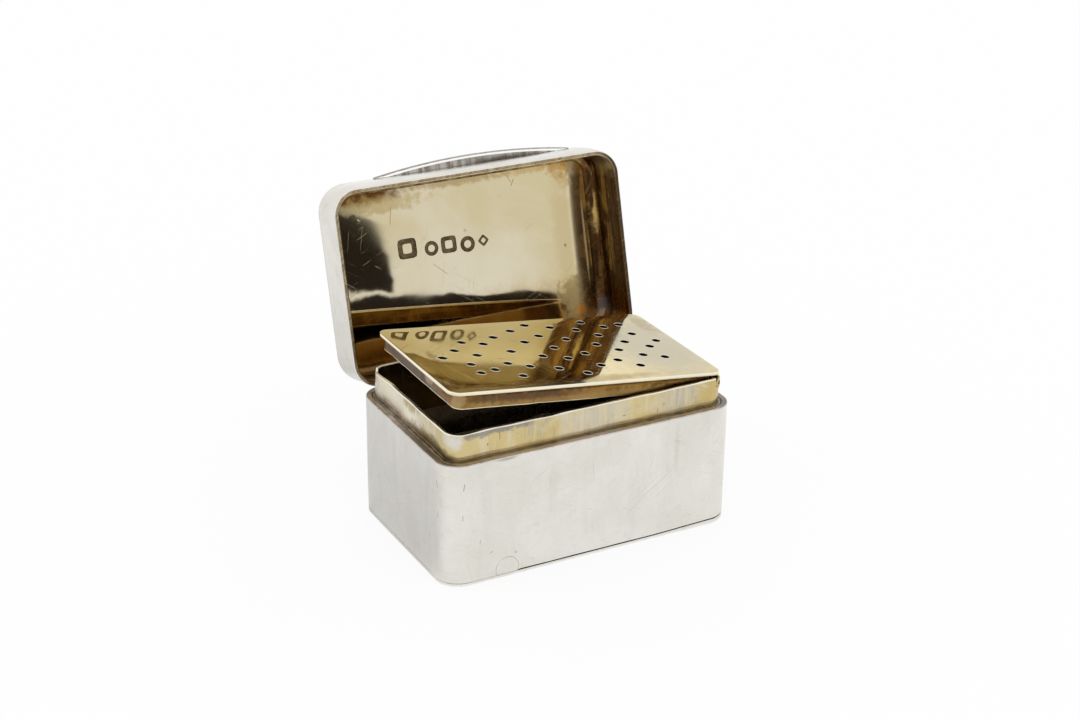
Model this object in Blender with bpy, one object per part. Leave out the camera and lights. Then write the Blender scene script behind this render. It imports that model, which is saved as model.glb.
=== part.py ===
# A silver vinaigrette: a small hinged box with a gilt collar, a pierced grille on its own
# hinge inside, and a sponge under the grille. It stands open, as in the photograph.
# The origin is the middle of the base's underside: +X to the right, +Y to the lid's hinge
# at the back, +Z up. Lengths are in metres, written as millimetres times mm.
# The lid and the grille are modelled shut, about their own hinge, and turned open by it.

import math

import bmesh
import bpy

mm = 0.001
degree = math.pi / 180.0

# Box
box_width = 32.0 * mm
box_depth = 20.0 * mm
body_height = 12.85 * mm
box_corner = 2.4 * mm
wall = 0.6 * mm
base_thickness = 0.4 * mm
seat_gap = 0.04 * mm
worn_edge = 0.1 * mm
base_edge = 0.16 * mm
cut_overrun = 1.0 * mm

# Ledge strip and gilt collar inside the walls
ledge_strip_thickness = 0.27 * mm
ledge_strip_height = 2.6 * mm
ledge_drop = 0.08 * mm
collar_wall = 0.35 * mm
collar_rise = 2.85 * mm
collar_skirt = 3.0 * mm

# Round plug let into the front wall above the base
plug_radius = 1.2 * mm
plug_from_left = 6.5 * mm
plug_centre_height = 0.95 * mm

# Lid
lid_opening = 105.0 * degree
lid_wall = 0.45 * mm
lid_corner = 2.6 * mm
lid_rim_gap = 0.05 * mm
lid_band_height = 3.2 * mm
lid_shoulder_height = 4.1 * mm
lid_edge_radius = 1.5 * mm
lid_crown = 0.4 * mm
lid_side_overhang = 0.3 * mm
lid_front_bow = 0.35 * mm
lid_bow_height = 2.2 * mm

# Thumbpiece on the lid's front
thumb_length = 22.4 * mm
thumb_proud = 1.0 * mm
thumb_thickness = 0.6 * mm
thumb_end = 0.12 * mm
thumb_shift = 1.4 * mm

# Lid hinge
hinge_length = 24.0 * mm
hinge_drop = 0.12 * mm
knuckle_radius = 0.5 * mm
hinge_pin_radius = 0.22 * mm
hinge_clearance = 0.04 * mm
hinge_web = 0.06 * mm
knuckle_end_gap = 0.06 * mm
bearer_proud = 0.5 * mm
bearer_height = 0.9 * mm
bearer_bevel = 0.12 * mm
bearer_slack = 2.0 * degree

# Grille
grille_ajar = 7.3 * degree
grille_thickness = 0.3 * mm
grille_corner = 1.1 * mm
grille_side_gap = 0.25 * mm
grille_shift_x = 0.08 * mm
grille_shift_y = -0.1 * mm
hole_radius = 0.46 * mm
frame_wall = 0.35 * mm
frame_height = 1.5 * mm
frame_inset = 0.2 * mm
frame_clearance = 0.4 * mm
frame_corner = 0.9 * mm

# Grille hinge
grille_knuckle_radius = 0.53 * mm
grille_pin_radius = 0.2 * mm
grille_axis_inset = 0.33 * mm
grille_axis_drop = 0.67 * mm
grille_hinge_margin = 0.15 * mm
barrel_proud = 0.12 * mm
leaf_thickness = 0.4 * mm

# Sponge
sponge_gap = 0.3 * mm
sponge_height = 6.4 * mm
sponge_crown = 0.5 * mm
sponge_side_gap = 0.8 * mm
sponge_corner = 2.0 * mm

# Mesh fineness
corner_steps = 6
edge_steps = 4
worn_steps = 2
knuckle_count = 5
knuckle_sides = 16
plug_sides = 28
hole_sides = 10
arc_steps = 20
smooth_angle = 35.0 * degree

# The lid's crown and the sponge's crown are rings drawn in to these shares of the outline
crown_ring_shares = (0.8, 0.55, 0.3)
sponge_ring_share = 0.5

# The pierced pattern: for each column its place along the grille and the holes across it,
# as shares of half the grille's length and of half its depth.
hole_shares = (
    (-0.785, (0.01,)),
    (-0.650, (0.20, -0.23, -0.49)),
    (-0.535, (0.43, 0.02, -0.43)),
    (-0.400, (0.34, -0.28, -0.66)),
    (-0.275, (0.52, 0.06, -0.41)),
    (-0.100, (0.68, 0.31, -0.14, -0.53)),
    (0.053, (0.83, 0.47, 0.08, -0.26, -0.72)),
    (0.215, (0.71, 0.31, -0.15, -0.53)),
    (0.378, (0.58, 0.09, -0.42)),
    (0.485, (0.81, 0.37, -0.12, -0.62)),
    (0.607, (0.62, 0.11, -0.32)),
    (0.740, (0.66, 0.34, -0.08, -0.43)),
    (0.845, (0.08,)),
)

# Places worked out from the sizes above
half_depth = box_depth / 2
hinge_y = half_depth + knuckle_radius + hinge_clearance + hinge_web - wall
hinge_z = body_height - hinge_drop
ledge_width = wall + ledge_strip_thickness + 2 * seat_gap
collar_top = body_height + collar_rise
grille_axis_x = box_width / 2 - ledge_width - grille_axis_inset
grille_axis_z = collar_top - grille_axis_drop


# Plan shapes: a rounded rectangle is (x_min, x_max, y_min, y_max, corner radius)

def plan(width, depth, radius, shift_x=0, shift_y=0):
    half_x = width / 2
    half_y = depth / 2
    return (shift_x - half_x, shift_x + half_x, shift_y - half_y, shift_y + half_y, radius)


def grown(shape, amount):
    x_min, x_max, y_min, y_max, radius = shape
    radius = max(radius + amount, seat_gap)
    return (x_min - amount, x_max + amount, y_min - amount, y_max + amount, radius)


def moved(shape, shift_x, shift_y):
    x_min, x_max, y_min, y_max, radius = shape
    return (x_min + shift_x, x_max + shift_x, y_min + shift_y, y_max + shift_y, radius)


def plan_loop(shape, height, share=1):
    # share draws the outline in towards its centre
    x_min, x_max, y_min, y_max, radius = shape
    middle_x = (x_min + x_max) / 2
    middle_y = (y_min + y_max) / 2
    corners = (
        (x_max - radius, y_min + radius, -math.pi / 2),
        (x_max - radius, y_max - radius, 0),
        (x_min + radius, y_max - radius, math.pi / 2),
        (x_min + radius, y_min + radius, math.pi),
    )
    loop = []
    for corner_x, corner_y, start in corners:
        for step in range(corner_steps + 1):
            angle = start + math.pi / 2 * step / corner_steps
            x = corner_x + radius * math.cos(angle)
            y = corner_y + radius * math.sin(angle)
            loop.append((middle_x + (x - middle_x) * share, middle_y + (y - middle_y) * share, height))
    return loop


def along(direction, points, place):
    # turns a flat outline into a loop that lies across X, Y or Z
    if direction == "X":
        return [(place, u, v) for u, v in points]
    if direction == "Y":
        return [(u, place, v) for u, v in points]
    return [(u, v, place) for u, v in points]


def circle(centre_u, centre_v, radius, sides):
    points = []
    for side in range(sides):
        angle = 2 * math.pi * (side + 0.5) / sides
        points.append((centre_u + radius * math.cos(angle), centre_v + radius * math.sin(angle)))
    return points


# Solids

def material(name, colour, roughness, metallic):
    made = bpy.data.materials.new(name)
    made.use_nodes = True
    shader = made.node_tree.nodes["Principled BSDF"]
    shader.inputs["Base Color"].default_value = (*colour, 1)
    shader.inputs["Roughness"].default_value = roughness
    shader.inputs["Metallic"].default_value = metallic
    made.diffuse_color = (*colour, 1)
    return made


def add_object(name, mesh, finish, parent):
    made = bpy.data.objects.new(name, mesh)
    bpy.context.scene.collection.objects.link(made)
    if finish is not None:
        mesh.materials.append(finish)
    mesh.shade_smooth()
    mesh.set_sharp_from_angle(angle=smooth_angle)
    made.parent = parent
    return made


def skin(name, loops, finish=None, parent=None, closed=False):
    # joins loops of equal length into one closed solid; closed joins the last to the first
    build = bmesh.new()
    rows = [[build.verts.new(point) for point in loop] for loop in loops]
    pairs = list(zip(rows, rows[1:]))
    if closed:
        pairs.append((rows[-1], rows[0]))
    else:
        build.faces.new(rows[0])
        build.faces.new(rows[-1])
    for first, second in pairs:
        count = len(first)
        for index in range(count):
            after = (index + 1) % count
            build.faces.new((first[index], first[after], second[after], second[index]))
    bmesh.ops.recalc_face_normals(build, faces=build.faces)
    mesh = bpy.data.meshes.new(name)
    build.to_mesh(mesh)
    build.free()
    return add_object(name, mesh, finish, parent)


def eased(shape, level, edge, outward, upward):
    # loops round a worn edge, from the upright wall to the flat face at level; outward is 1 on
    # an outside wall and -1 on an inside one, upward is 1 at a top and -1 at a bottom
    if not edge:
        return [plan_loop(shape, level)]
    loops = []
    for step in range(worn_steps + 1):
        angle = math.pi / 2 * step / worn_steps
        drawn_in = edge * (1 - math.cos(angle)) * outward
        height = level - edge * (1 - math.sin(angle)) * upward
        loops.append(plan_loop(grown(shape, -drawn_in), height))
    return loops


def band(name, outer, inner, bottom, top, finish, parent=None, top_edge=0, bottom_edge=0):
    loops = eased(outer, bottom, bottom_edge, 1, -1)[::-1] + eased(outer, top, top_edge, 1, 1)
    loops += eased(inner, top, top_edge, -1, 1)[::-1] + eased(inner, bottom, bottom_edge, -1, -1)
    return skin(name, loops, finish, parent, closed=True)


def slab(name, shape, bottom, top, finish=None, parent=None, top_edge=0, bottom_edge=0):
    loops = eased(shape, bottom, bottom_edge, 1, -1)[::-1] + eased(shape, top, top_edge, 1, 1)
    return skin(name, loops, finish, parent)


def rod(name, direction, centre, radius, start, end, sides, finish=None, parent=None):
    ring = circle(centre[0], centre[1], radius, sides)
    return skin(name, [along(direction, ring, start), along(direction, ring, end)], finish, parent)


def tube(name, direction, radius, bore, start, end, finish, parent):
    outside = circle(0, 0, radius, knuckle_sides)
    inside = circle(0, 0, bore, knuckle_sides)
    loops = [
        along(direction, outside, start),
        along(direction, outside, end),
        along(direction, inside, end),
        along(direction, inside, start),
    ]
    return skin(name, loops, finish, parent, closed=True)


def block(name, low, high, finish=None, parent=None):
    corners = ((low[0], low[1]), (high[0], low[1]), (high[0], high[1]), (low[0], high[1]))
    return skin(name, [along("Z", corners, low[2]), along("Z", corners, high[2])], finish, parent)


def combine(target, tool, operation):
    tool.hide_render = True
    tool.display_type = "WIRE"
    change = target.modifiers.new(tool.name, "BOOLEAN")
    change.operation = operation
    change.object = tool


def soften(target, width):
    edge = target.modifiers.new("worn edges", "BEVEL")
    edge.width = width
    edge.segments = 2


def hinge_empty(name, place, turn):
    empty = bpy.data.objects.new(name, None)
    bpy.context.scene.collection.objects.link(empty)
    empty.location = place
    empty.rotation_euler = turn
    return empty


def knuckle_stretches(start, end):
    # equal stretches of a hinge's length with a running gap between neighbours
    length = (end - start) / knuckle_count
    stretches = []
    for index in range(knuckle_count):
        low = start + index * length + knuckle_end_gap / 2
        stretches.append((low, low + length - knuckle_end_gap))
    return stretches


# Box body

def make_body(silver, dark_silver, gilt):
    outer = plan(box_width, box_depth, box_corner)
    inner = grown(outer, -wall)
    slab("base_plate", outer, 0, base_thickness, silver, bottom_edge=base_edge)
    body_wall = band(
        "body_wall", outer, inner, base_thickness + seat_gap, body_height, silver, top_edge=worn_edge)

    channel_radius = knuckle_radius + hinge_clearance
    reach = hinge_length / 2 + knuckle_end_gap
    channel = rod("body hinge channel", "X", (hinge_y, hinge_z), channel_radius, -reach, reach, plug_sides)
    combine(body_wall, channel, "DIFFERENCE")

    plug_place = (-box_width / 2 + plug_from_left, plug_centre_height)
    plug_hole = rod(
        "plug hole", "Y", plug_place, plug_radius + seat_gap,
        -half_depth - cut_overrun, -half_depth + wall + cut_overrun, plug_sides)
    combine(body_wall, plug_hole, "DIFFERENCE")
    wall_plug = rod(
        "wall_plug", "Y", plug_place, plug_radius, -half_depth, -half_depth + wall, plug_sides, silver)
    under_plug = block(
        "base below the plug",
        (-box_width / 2, -half_depth - cut_overrun, -box_depth),
        (box_width / 2, 0, base_thickness + seat_gap))
    combine(wall_plug, under_plug, "DIFFERENCE")

    collar_outer = grown(outer, -ledge_width)
    strip_top = body_height - ledge_drop
    band(
        "ledge_strip", grown(inner, -seat_gap), grown(collar_outer, seat_gap),
        strip_top - ledge_strip_height, strip_top, dark_silver)
    collar = band(
        "collar", collar_outer, grown(collar_outer, -collar_wall),
        body_height - collar_skirt, collar_top, gilt, top_edge=worn_edge)
    cut_barrel_seat(collar, collar_outer)
    make_body_hinge(silver)
    return collar_outer


def cut_barrel_seat(collar, collar_outer):
    # the grille's hinge barrel lies in the top of the collar's right wall
    seat_radius = grille_knuckle_radius + hinge_clearance
    end = collar_outer[3] + cut_overrun
    seat = rod("barrel seat", "Y", (grille_axis_x, grille_axis_z), seat_radius, -end, end, plug_sides)
    combine(collar, seat, "DIFFERENCE")
    above_seat = block(
        "above the barrel seat",
        (grille_axis_x - seat_radius, -end, grille_axis_z),
        (collar_outer[1] + cut_overrun, end, collar_top + cut_overrun))
    combine(collar, above_seat, "DIFFERENCE")


def bearer_offset():
    # the two bearers meet edge to edge when the lid is a little past its open place
    return bearer_proud * math.tan((lid_opening + bearer_slack) / 2)


def make_body_hinge(silver):
    axis = hinge_empty("body hinge axis", (0, hinge_y, hinge_z), (0, 0, 0))
    stretches = knuckle_stretches(-hinge_length / 2, hinge_length / 2)
    names = (("body_knuckle_left", 0), ("body_knuckle_middle", 2), ("body_knuckle_right", 4))
    for name, index in names:
        start, end = stretches[index]
        tube(name, "X", knuckle_radius, hinge_pin_radius + hinge_clearance, start, end, silver, axis)
    rod(
        "lid_hinge_pin", "X", (0, 0), hinge_pin_radius,
        -hinge_length / 2, hinge_length / 2, knuckle_sides, silver, axis)
    top = -bearer_offset()
    back = half_depth - hinge_y
    bearer = block(
        "body_hinge_bearer",
        (-hinge_length / 2, back + seat_gap, top - bearer_height),
        (hinge_length / 2, bearer_proud, top), silver, axis)
    soften(bearer, bearer_bevel)


# Lid, modelled shut about the hinge axis

def lid_plan(height):
    # height is above the rim; the front wall bows out towards the shoulder
    rise = min(height / lid_bow_height, 1)
    bow = lid_front_bow * math.sin(math.pi / 2 * rise)
    back = half_depth - hinge_y
    front = back - box_depth - bow
    return (-box_width / 2, box_width / 2 + lid_side_overhang, front, back, lid_corner + bow)


def lid_dome(inset, bottom):
    # loops from the band's top over the rounded edge to the crown, drawn in by inset
    shoulder = lid_plan(lid_shoulder_height)
    rim = hinge_drop + lid_rim_gap
    radius = lid_edge_radius - inset
    loops = [plan_loop(grown(lid_plan(bottom), -inset), rim + bottom)]
    for step in range(edge_steps + 1):
        angle = math.pi / 2 * step / edge_steps
        shape = grown(shoulder, -inset - radius * (1 - math.cos(angle)))
        loops.append(plan_loop(shape, rim + lid_shoulder_height + radius * math.sin(angle)))
    edge_top = rim + lid_shoulder_height + radius
    edge_shape = grown(shoulder, -inset - radius)
    for share in crown_ring_shares:
        height = edge_top + lid_crown * (1 - share * share)
        loops.append(plan_loop(edge_shape, height, share))
    return loops


def make_lid(silver):
    axis = hinge_empty("lid hinge axis", (0, hinge_y, hinge_z), (-lid_opening, 0, 0))
    rim = hinge_drop + lid_rim_gap
    band_heights = (lid_bow_height / 3, lid_bow_height * 2 / 3, lid_bow_height, lid_band_height)
    outside = eased(lid_plan(0), rim, worn_edge, 1, -1)[::-1]
    outside += [plan_loop(lid_plan(height), rim + height) for height in band_heights]
    inside = eased(grown(lid_plan(0), -lid_wall), rim, worn_edge, -1, -1)[::-1]
    inside += [plan_loop(grown(lid_plan(height), -lid_wall), rim + height) for height in band_heights]
    lid_band = skin("lid_band", outside + inside[::-1], silver, axis, closed=True)
    channel_radius = knuckle_radius + hinge_clearance
    reach = hinge_length / 2 + knuckle_end_gap
    channel = rod("lid hinge channel", "X", (0, 0), channel_radius, -reach, reach, plug_sides, None, axis)
    combine(lid_band, channel, "DIFFERENCE")

    bottom = lid_band_height + seat_gap
    skin("lid_top", lid_dome(lid_wall, bottom)[::-1] + lid_dome(0, bottom), silver, axis)

    stretches = knuckle_stretches(-hinge_length / 2, hinge_length / 2)
    for name, index in (("lid_knuckle_left", 1), ("lid_knuckle_right", 3)):
        start, end = stretches[index]
        tube(name, "X", knuckle_radius, hinge_pin_radius + hinge_clearance, start, end, silver, axis)
    bottom = bearer_offset()
    back = half_depth - hinge_y
    bearer = block(
        "lid_hinge_bearer",
        (-hinge_length / 2, back + seat_gap, bottom),
        (hinge_length / 2, bearer_proud, bottom + bearer_height), silver, axis)
    soften(bearer, bearer_bevel)
    make_thumbpiece(silver, axis)


def make_thumbpiece(silver, axis):
    # a crescent: an arc over its chord, with the chord's ends a little proud of the lid
    sagitta = thumb_proud - thumb_end
    half = thumb_length / 2
    arc_radius = (half * half + sagitta * sagitta) / (2 * sagitta)
    half_angle = math.asin(half / arc_radius)
    front = lid_plan(lid_shoulder_height)[2] - seat_gap
    points = [(thumb_shift - half, front), (thumb_shift + half, front)]
    for step in range(arc_steps + 1):
        angle = half_angle * (1 - 2 * step / arc_steps)
        proud = thumb_end + sagitta - arc_radius * (1 - math.cos(angle))
        points.append((thumb_shift + arc_radius * math.sin(angle), front - proud))
    points.reverse()
    top = hinge_drop + lid_rim_gap + lid_shoulder_height
    loops = [along("Z", points, top - thumb_thickness), along("Z", points, top)]
    skin("thumbpiece", loops, silver, axis)


# Grille, modelled shut about its hinge axis

def grille_plan(collar_outer):
    x_min, x_max, y_min, y_max, radius = collar_outer
    trim = collar_wall + grille_side_gap
    shape = (x_min, x_max, y_min + trim, y_max - trim, grille_corner)
    return moved(shape, grille_shift_x - grille_axis_x, grille_shift_y)


def make_grille(silver, gilt, collar_outer):
    axis = hinge_empty("grille hinge axis", (grille_axis_x, 0, grille_axis_z), (0, grille_ajar, 0))
    shape = grille_plan(collar_outer)
    underside = grille_axis_drop + seat_gap
    plate = slab(
        "grille_plate", shape, underside, underside + grille_thickness, gilt, axis, top_edge=worn_edge)
    combine(plate, hole_cutter(shape, underside, axis), "DIFFERENCE")

    frame_shape = (
        collar_outer[0] + collar_wall + frame_clearance - grille_axis_x,
        -grille_knuckle_radius - 2 * hinge_clearance,
        shape[2] + frame_inset,
        shape[3] - frame_inset,
        frame_corner)
    frame_top = underside - seat_gap
    band(
        "grille_frame", frame_shape, grown(frame_shape, -frame_wall),
        frame_top - frame_height, frame_top, gilt, axis, bottom_edge=worn_edge)
    make_grille_hinge(silver, gilt, collar_outer, axis, frame_top)


def hole_cutter(shape, underside, axis):
    # every hole in one cutter: short separate rods through the plate
    x_min, x_max, y_min, y_max, radius = shape
    middle_x = (x_min + x_max) / 2
    middle_y = (y_min + y_max) / 2
    build = bmesh.new()
    for column_share, row_shares in hole_shares:
        for row_share in row_shares:
            x = middle_x + (x_max - x_min) / 2 * column_share
            y = middle_y + (y_max - y_min) / 2 * row_share
            ring = circle(x, y, hole_radius, hole_sides)
            low = [build.verts.new(point) for point in along("Z", ring, underside - cut_overrun)]
            high_place = underside + grille_thickness + cut_overrun
            high = [build.verts.new(point) for point in along("Z", ring, high_place)]
            build.faces.new(low[::-1])
            build.faces.new(high)
            for index in range(hole_sides):
                after = (index + 1) % hole_sides
                build.faces.new((low[index], low[after], high[after], high[index]))
    mesh = bpy.data.meshes.new("grille holes")
    build.to_mesh(mesh)
    build.free()
    return add_object("grille holes", mesh, None, axis)


def make_grille_hinge(silver, gilt, collar_outer, axis, frame_top):
    fixed = hinge_empty("collar hinge axis", (grille_axis_x, 0, grille_axis_z), (0, 0, 0))
    end = collar_outer[3] - grille_hinge_margin
    stretches = knuckle_stretches(-end, end)
    bore = grille_pin_radius + hinge_clearance
    # the barrel's fixed pieces are filed off round the collar's corners
    local_collar = moved(collar_outer, -grille_axis_x, 0)
    names = (("collar_knuckle_front", 0), ("collar_knuckle_middle", 2), ("collar_knuckle_back", 4))
    for name, index in names:
        start, finish = stretches[index]
        knuckle = tube(name, "Y", grille_knuckle_radius, bore, start, finish, gilt, fixed)
        limit = slab(
            name + " limit", grown(local_collar, barrel_proud),
            -box_depth, box_depth, None, fixed)
        combine(knuckle, limit, "INTERSECT")
    pin = rod("grille_hinge_pin", "Y", (0, 0), grille_pin_radius, -end, end, knuckle_sides, silver, fixed)
    pin_limit = slab("pin limit", local_collar, -box_depth, box_depth, None, fixed)
    combine(pin, pin_limit, "INTERSECT")
    for name, index in (("grille_knuckle_front", 1), ("grille_knuckle_back", 3)):
        start, finish = stretches[index]
        knuckle = tube(name, "Y", grille_knuckle_radius, bore, start, finish, gilt, axis)
        reach = grille_knuckle_radius + hinge_clearance
        leaf = block(
            name + " leaf",
            (-reach, start, frame_top - leaf_thickness),
            (0, finish, frame_top), None, axis)
        combine(knuckle, leaf, "UNION")


# Sponge

def make_sponge(finish, collar_outer):
    shape = grown(collar_outer, -collar_wall - sponge_side_gap)
    shape = (*shape[:4], sponge_corner)
    bottom = base_thickness + sponge_gap
    top = bottom + sponge_height
    loops = [plan_loop(grown(shape, -sponge_crown), bottom)]
    loops.append(plan_loop(shape, bottom + sponge_crown))
    loops.append(plan_loop(shape, top - sponge_crown))
    loops.append(plan_loop(grown(shape, -sponge_crown), top))
    loops.append(plan_loop(shape, top + sponge_crown, sponge_ring_share))
    skin("sponge", loops, finish)


def main():
    for old in list(bpy.data.objects):
        bpy.data.objects.remove(old, do_unlink=True)
    silver = material("silver", (0.80, 0.79, 0.77), 0.22, 1)
    dark_silver = material("tarnished silver", (0.22, 0.19, 0.17), 0.45, 1)
    gilt = material("gilt", (0.80, 0.68, 0.42), 0.28, 1)
    dry_sponge = material("dry sponge", (0.20, 0.15, 0.09), 0.95, 0)
    collar_outer = make_body(silver, dark_silver, gilt)
    make_lid(silver)
    make_grille(silver, gilt, collar_outer)
    make_sponge(dry_sponge, collar_outer)


main()
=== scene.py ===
import math
from collections import namedtuple

import bmesh
import bpy
from mathutils import Matrix, Vector, noise


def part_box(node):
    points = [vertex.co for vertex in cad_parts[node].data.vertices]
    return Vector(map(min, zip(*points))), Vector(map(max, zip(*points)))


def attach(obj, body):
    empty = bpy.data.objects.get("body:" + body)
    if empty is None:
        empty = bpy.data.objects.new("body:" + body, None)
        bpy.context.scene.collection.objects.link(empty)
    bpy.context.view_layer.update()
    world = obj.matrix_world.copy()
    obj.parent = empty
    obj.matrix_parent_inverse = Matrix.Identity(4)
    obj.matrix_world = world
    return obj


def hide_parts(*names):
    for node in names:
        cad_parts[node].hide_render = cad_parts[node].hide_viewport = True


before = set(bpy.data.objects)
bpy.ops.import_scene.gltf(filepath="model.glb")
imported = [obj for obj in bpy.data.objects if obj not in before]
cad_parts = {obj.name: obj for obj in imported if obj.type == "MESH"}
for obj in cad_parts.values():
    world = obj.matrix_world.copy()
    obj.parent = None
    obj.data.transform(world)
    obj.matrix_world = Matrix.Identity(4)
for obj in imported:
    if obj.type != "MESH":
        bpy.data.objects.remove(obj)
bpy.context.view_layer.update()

# An open silver vinaigrette with a gilt inside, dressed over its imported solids.
# Lengths are metres, written as millimetres times mm.

mm = 0.001

camera = {"azimuth": -28.54, "elevation": 23.88, "roll": 0.72, "distance": 0.20126,
          "target": (-0.00078, 0.0, 0.01706), "lens": 68.105}
studio = {"floor": 2.0, "floorGlow": 0.86, "floorShade": 0.3, "dark": (0.027, 0.022, 0.018), "ragged": 0.7,
          "soft": 0.1, "left": -75.0, "low": -2.0, "horizon": (18.4, 6.0, 25.0, 2.85), "right": 60.0,
          "tall": {"right": 20.6, "lean": 0.35, "leanFrom": 8.0, "high": 9.6, "gap": 0.22}}

# The two hinges: where the axis lies, and how far each leaf stands open at rest
lidHinge = {"y": 10.0 * mm, "z": 12.73 * mm, "open": math.radians(105), "channel": 0.54 * mm,
            "reach": 12.06 * mm}
grilleHinge = {"x": 14.72 * mm, "z": 15.03 * mm, "ajar": math.radians(7.3)}
lidAxis = Matrix.Translation((0, lidHinge["y"], lidHinge["z"]))
grilleAxis = Matrix.Translation((grilleHinge["x"], 0, grilleHinge["z"]))
lidPlace = lidAxis @ Matrix.Rotation(-lidHinge["open"], 4, "X")
grillePlace = grilleAxis @ Matrix.Rotation(grilleHinge["ajar"], 4, "Y")

# How finely a rounded rectangle is divided
fineness = {"corner": 12, "along": 44, "across": 26}
sharpAngle = math.radians(38)


# Meshes

def outline(shape, grow=0.0, share=1.0):
    # points round a rounded rectangle (xMin, xMax, yMin, yMax, corner), drawn in by share
    xMin, xMax, yMin, yMax, corner = shape
    xMin, xMax, yMin, yMax = xMin - grow, xMax + grow, yMin - grow, yMax + grow
    corner = max(corner + grow, 0.02 * mm)
    middle = ((xMin + xMax) / 2, (yMin + yMax) / 2)
    centres = ((xMax - corner, yMin + corner), (xMax - corner, yMax - corner),
               (xMin + corner, yMax - corner), (xMin + corner, yMin + corner))
    points = []
    for turn, (cx, cy) in enumerate(centres):
        start = math.pi / 2 * (turn - 1)
        for step in range(fineness["corner"] + 1):
            angle = start + math.pi / 2 * step / fineness["corner"]
            points.append((cx + corner * math.cos(angle), cy + corner * math.sin(angle)))
        nextX, nextY = centres[(turn + 1) % 4]
        end = (nextX + corner * math.cos(start + math.pi / 2), nextY + corner * math.sin(start + math.pi / 2))
        first = points[-1]
        steps = fineness["across"] if turn % 2 == 0 else fineness["along"]
        for step in range(1, steps):
            part = step / steps
            points.append((first[0] + (end[0] - first[0]) * part, first[1] + (end[1] - first[1]) * part))
    return [(middle[0] + (x - middle[0]) * share, middle[1] + (y - middle[1]) * share) for x, y in points]


def level(shape, height, grow=0.0, wear=0.0, finish=0, share=1.0):
    # one ring of a piece: its points, how worn it is, and the finish of the strip after it
    return [(x, y, height) for x, y in outline(shape, grow, share)], wear, finish


def rounding(shape, height, edge, inside, top, wear, finish, grow=0.0):
    # rings round a worn edge, from the upright wall to the flat rim
    rings = []
    side = -1 if inside else 1
    for step in range(5):
        angle = math.pi / 2 * step / 4
        drawn = grow - edge * (1 - math.cos(angle)) * side
        rings.append(level(shape, height - edge * (1 - math.sin(angle)) * top, drawn, wear, finish))
    return rings


def wallRings(shape, low, high, rows, grow=0.0, finish=0):
    return [level(shape, low + (high - low) * row / rows, grow, 0.0, finish) for row in range(rows + 1)]


def retouched(ring, wear, finish):
    return ring[0], wear, finish


def linkMesh(name, mesh, finishes):
    piece = bpy.data.objects.new(name, mesh)
    bpy.context.scene.collection.objects.link(piece)
    for finish in finishes:
        mesh.materials.append(finish)
    return piece


def built(name, build, finishes):
    bmesh.ops.recalc_face_normals(build, faces=build.faces)
    mesh = bpy.data.meshes.new(name)
    build.to_mesh(mesh)
    build.free()
    return linkMesh(name, mesh, finishes)


def bridge(build, low, high):
    # a strip of faces between two rings of points
    faces = []
    for side in range(len(low)):
        after = (side + 1) % len(low)
        faces.append(build.faces.new((low[side], low[after], high[after], high[side])))
    return faces


def loft(name, rings, finishes, closed=True):
    build = bmesh.new()
    worn = build.verts.layers.float.new("worn")
    rows = []
    for points, wear, finish in rings:
        row = [build.verts.new(point) for point in points]
        for vert in row:
            vert[worn] = wear
        rows.append(row)
    for index in range(len(rows) if closed else len(rows) - 1):
        for face in bridge(build, rows[index], rows[(index + 1) % len(rows)]):
            face.material_index = rings[index][2]
    if not closed:
        build.faces.new(rows[0]).material_index = rings[0][2]
        build.faces.new(rows[-1]).material_index = rings[-1][2]
    return built(name, build, finishes)


def section(name, loops, finishes):
    # a closed piece through plain loops of equal length
    return loft(name, [(loop, 0.0, 0) for loop in loops], finishes, closed=False)


def beaten(piece, depth, size, seed, squash=(1, 1, 1)):
    # slow unevenness of hand-worked sheet: every point moves along its normal
    mesh = piece.data
    normals = [vert.normal.copy() for vert in mesh.vertices]
    for vert, normal in zip(mesh.vertices, normals):
        place = Vector([value * squeeze / size for value, squeeze in zip(vert.co, squash)])
        place += Vector((seed * 7.3, seed * 3.1, seed * 1.7))
        vert.co += normal * depth * noise.noise(place)
    mesh.update()


def reshape(piece, change):
    for vert in piece.data.vertices:
        vert.co = change(vert.co)
    piece.data.update()


def applied(piece):
    # the evaluated piece becomes a plain mesh
    bpy.context.view_layer.update()
    graph = bpy.context.evaluated_depsgraph_get()
    made = bpy.data.meshes.new_from_object(piece.evaluated_get(graph))
    old = piece.data
    piece.modifiers.clear()
    piece.data = made
    bpy.data.meshes.remove(old)


def cut(piece, *cutters):
    for cutter in cutters:
        change = piece.modifiers.new("cut", "BOOLEAN")
        change.operation = "DIFFERENCE"
        change.solver = "EXACT"
        change.material_mode = "TRANSFER"
        change.object = cutter
    applied(piece)
    for cutter in cutters:
        bpy.data.objects.remove(cutter, do_unlink=True)


def rod(name, direction, centre, stations, sides=48, finishes=()):
    # a round piece along X or Y: each station is a place along it and a radius
    loops = []
    for place, radius in stations:
        loop = []
        for side in range(sides):
            angle = 2 * math.pi * side / sides
            u, v = centre[0] + radius * math.cos(angle), centre[1] + radius * math.sin(angle)
            loop.append((place, u, v) if direction == "X" else (u, place, v))
        loops.append(loop)
    return section(name, loops, finishes)


def hingeChannel(y, z):
    stations = [(side * lidHinge["reach"], lidHinge["channel"]) for side in (-1, 1)]
    return rod("hinge channel", "X", (y, z), stations, finishes=(hingeSilver,))


def settle(piece, body, nodes=(), place=None):
    if place is not None:
        piece.data.transform(place)
    piece.data.shade_smooth()
    piece.data.set_sharp_from_angle(angle=sharpAngle)
    piece.data.update()
    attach(piece, body)
    if nodes:
        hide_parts(*nodes)


def ease(value, low, high):
    # a smooth step from 0 at low to 1 at high
    part = min(max((value - low) / (high - low), 0.0), 1.0)
    return part * part * (3 - 2 * part)


# Shader node helpers

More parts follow.
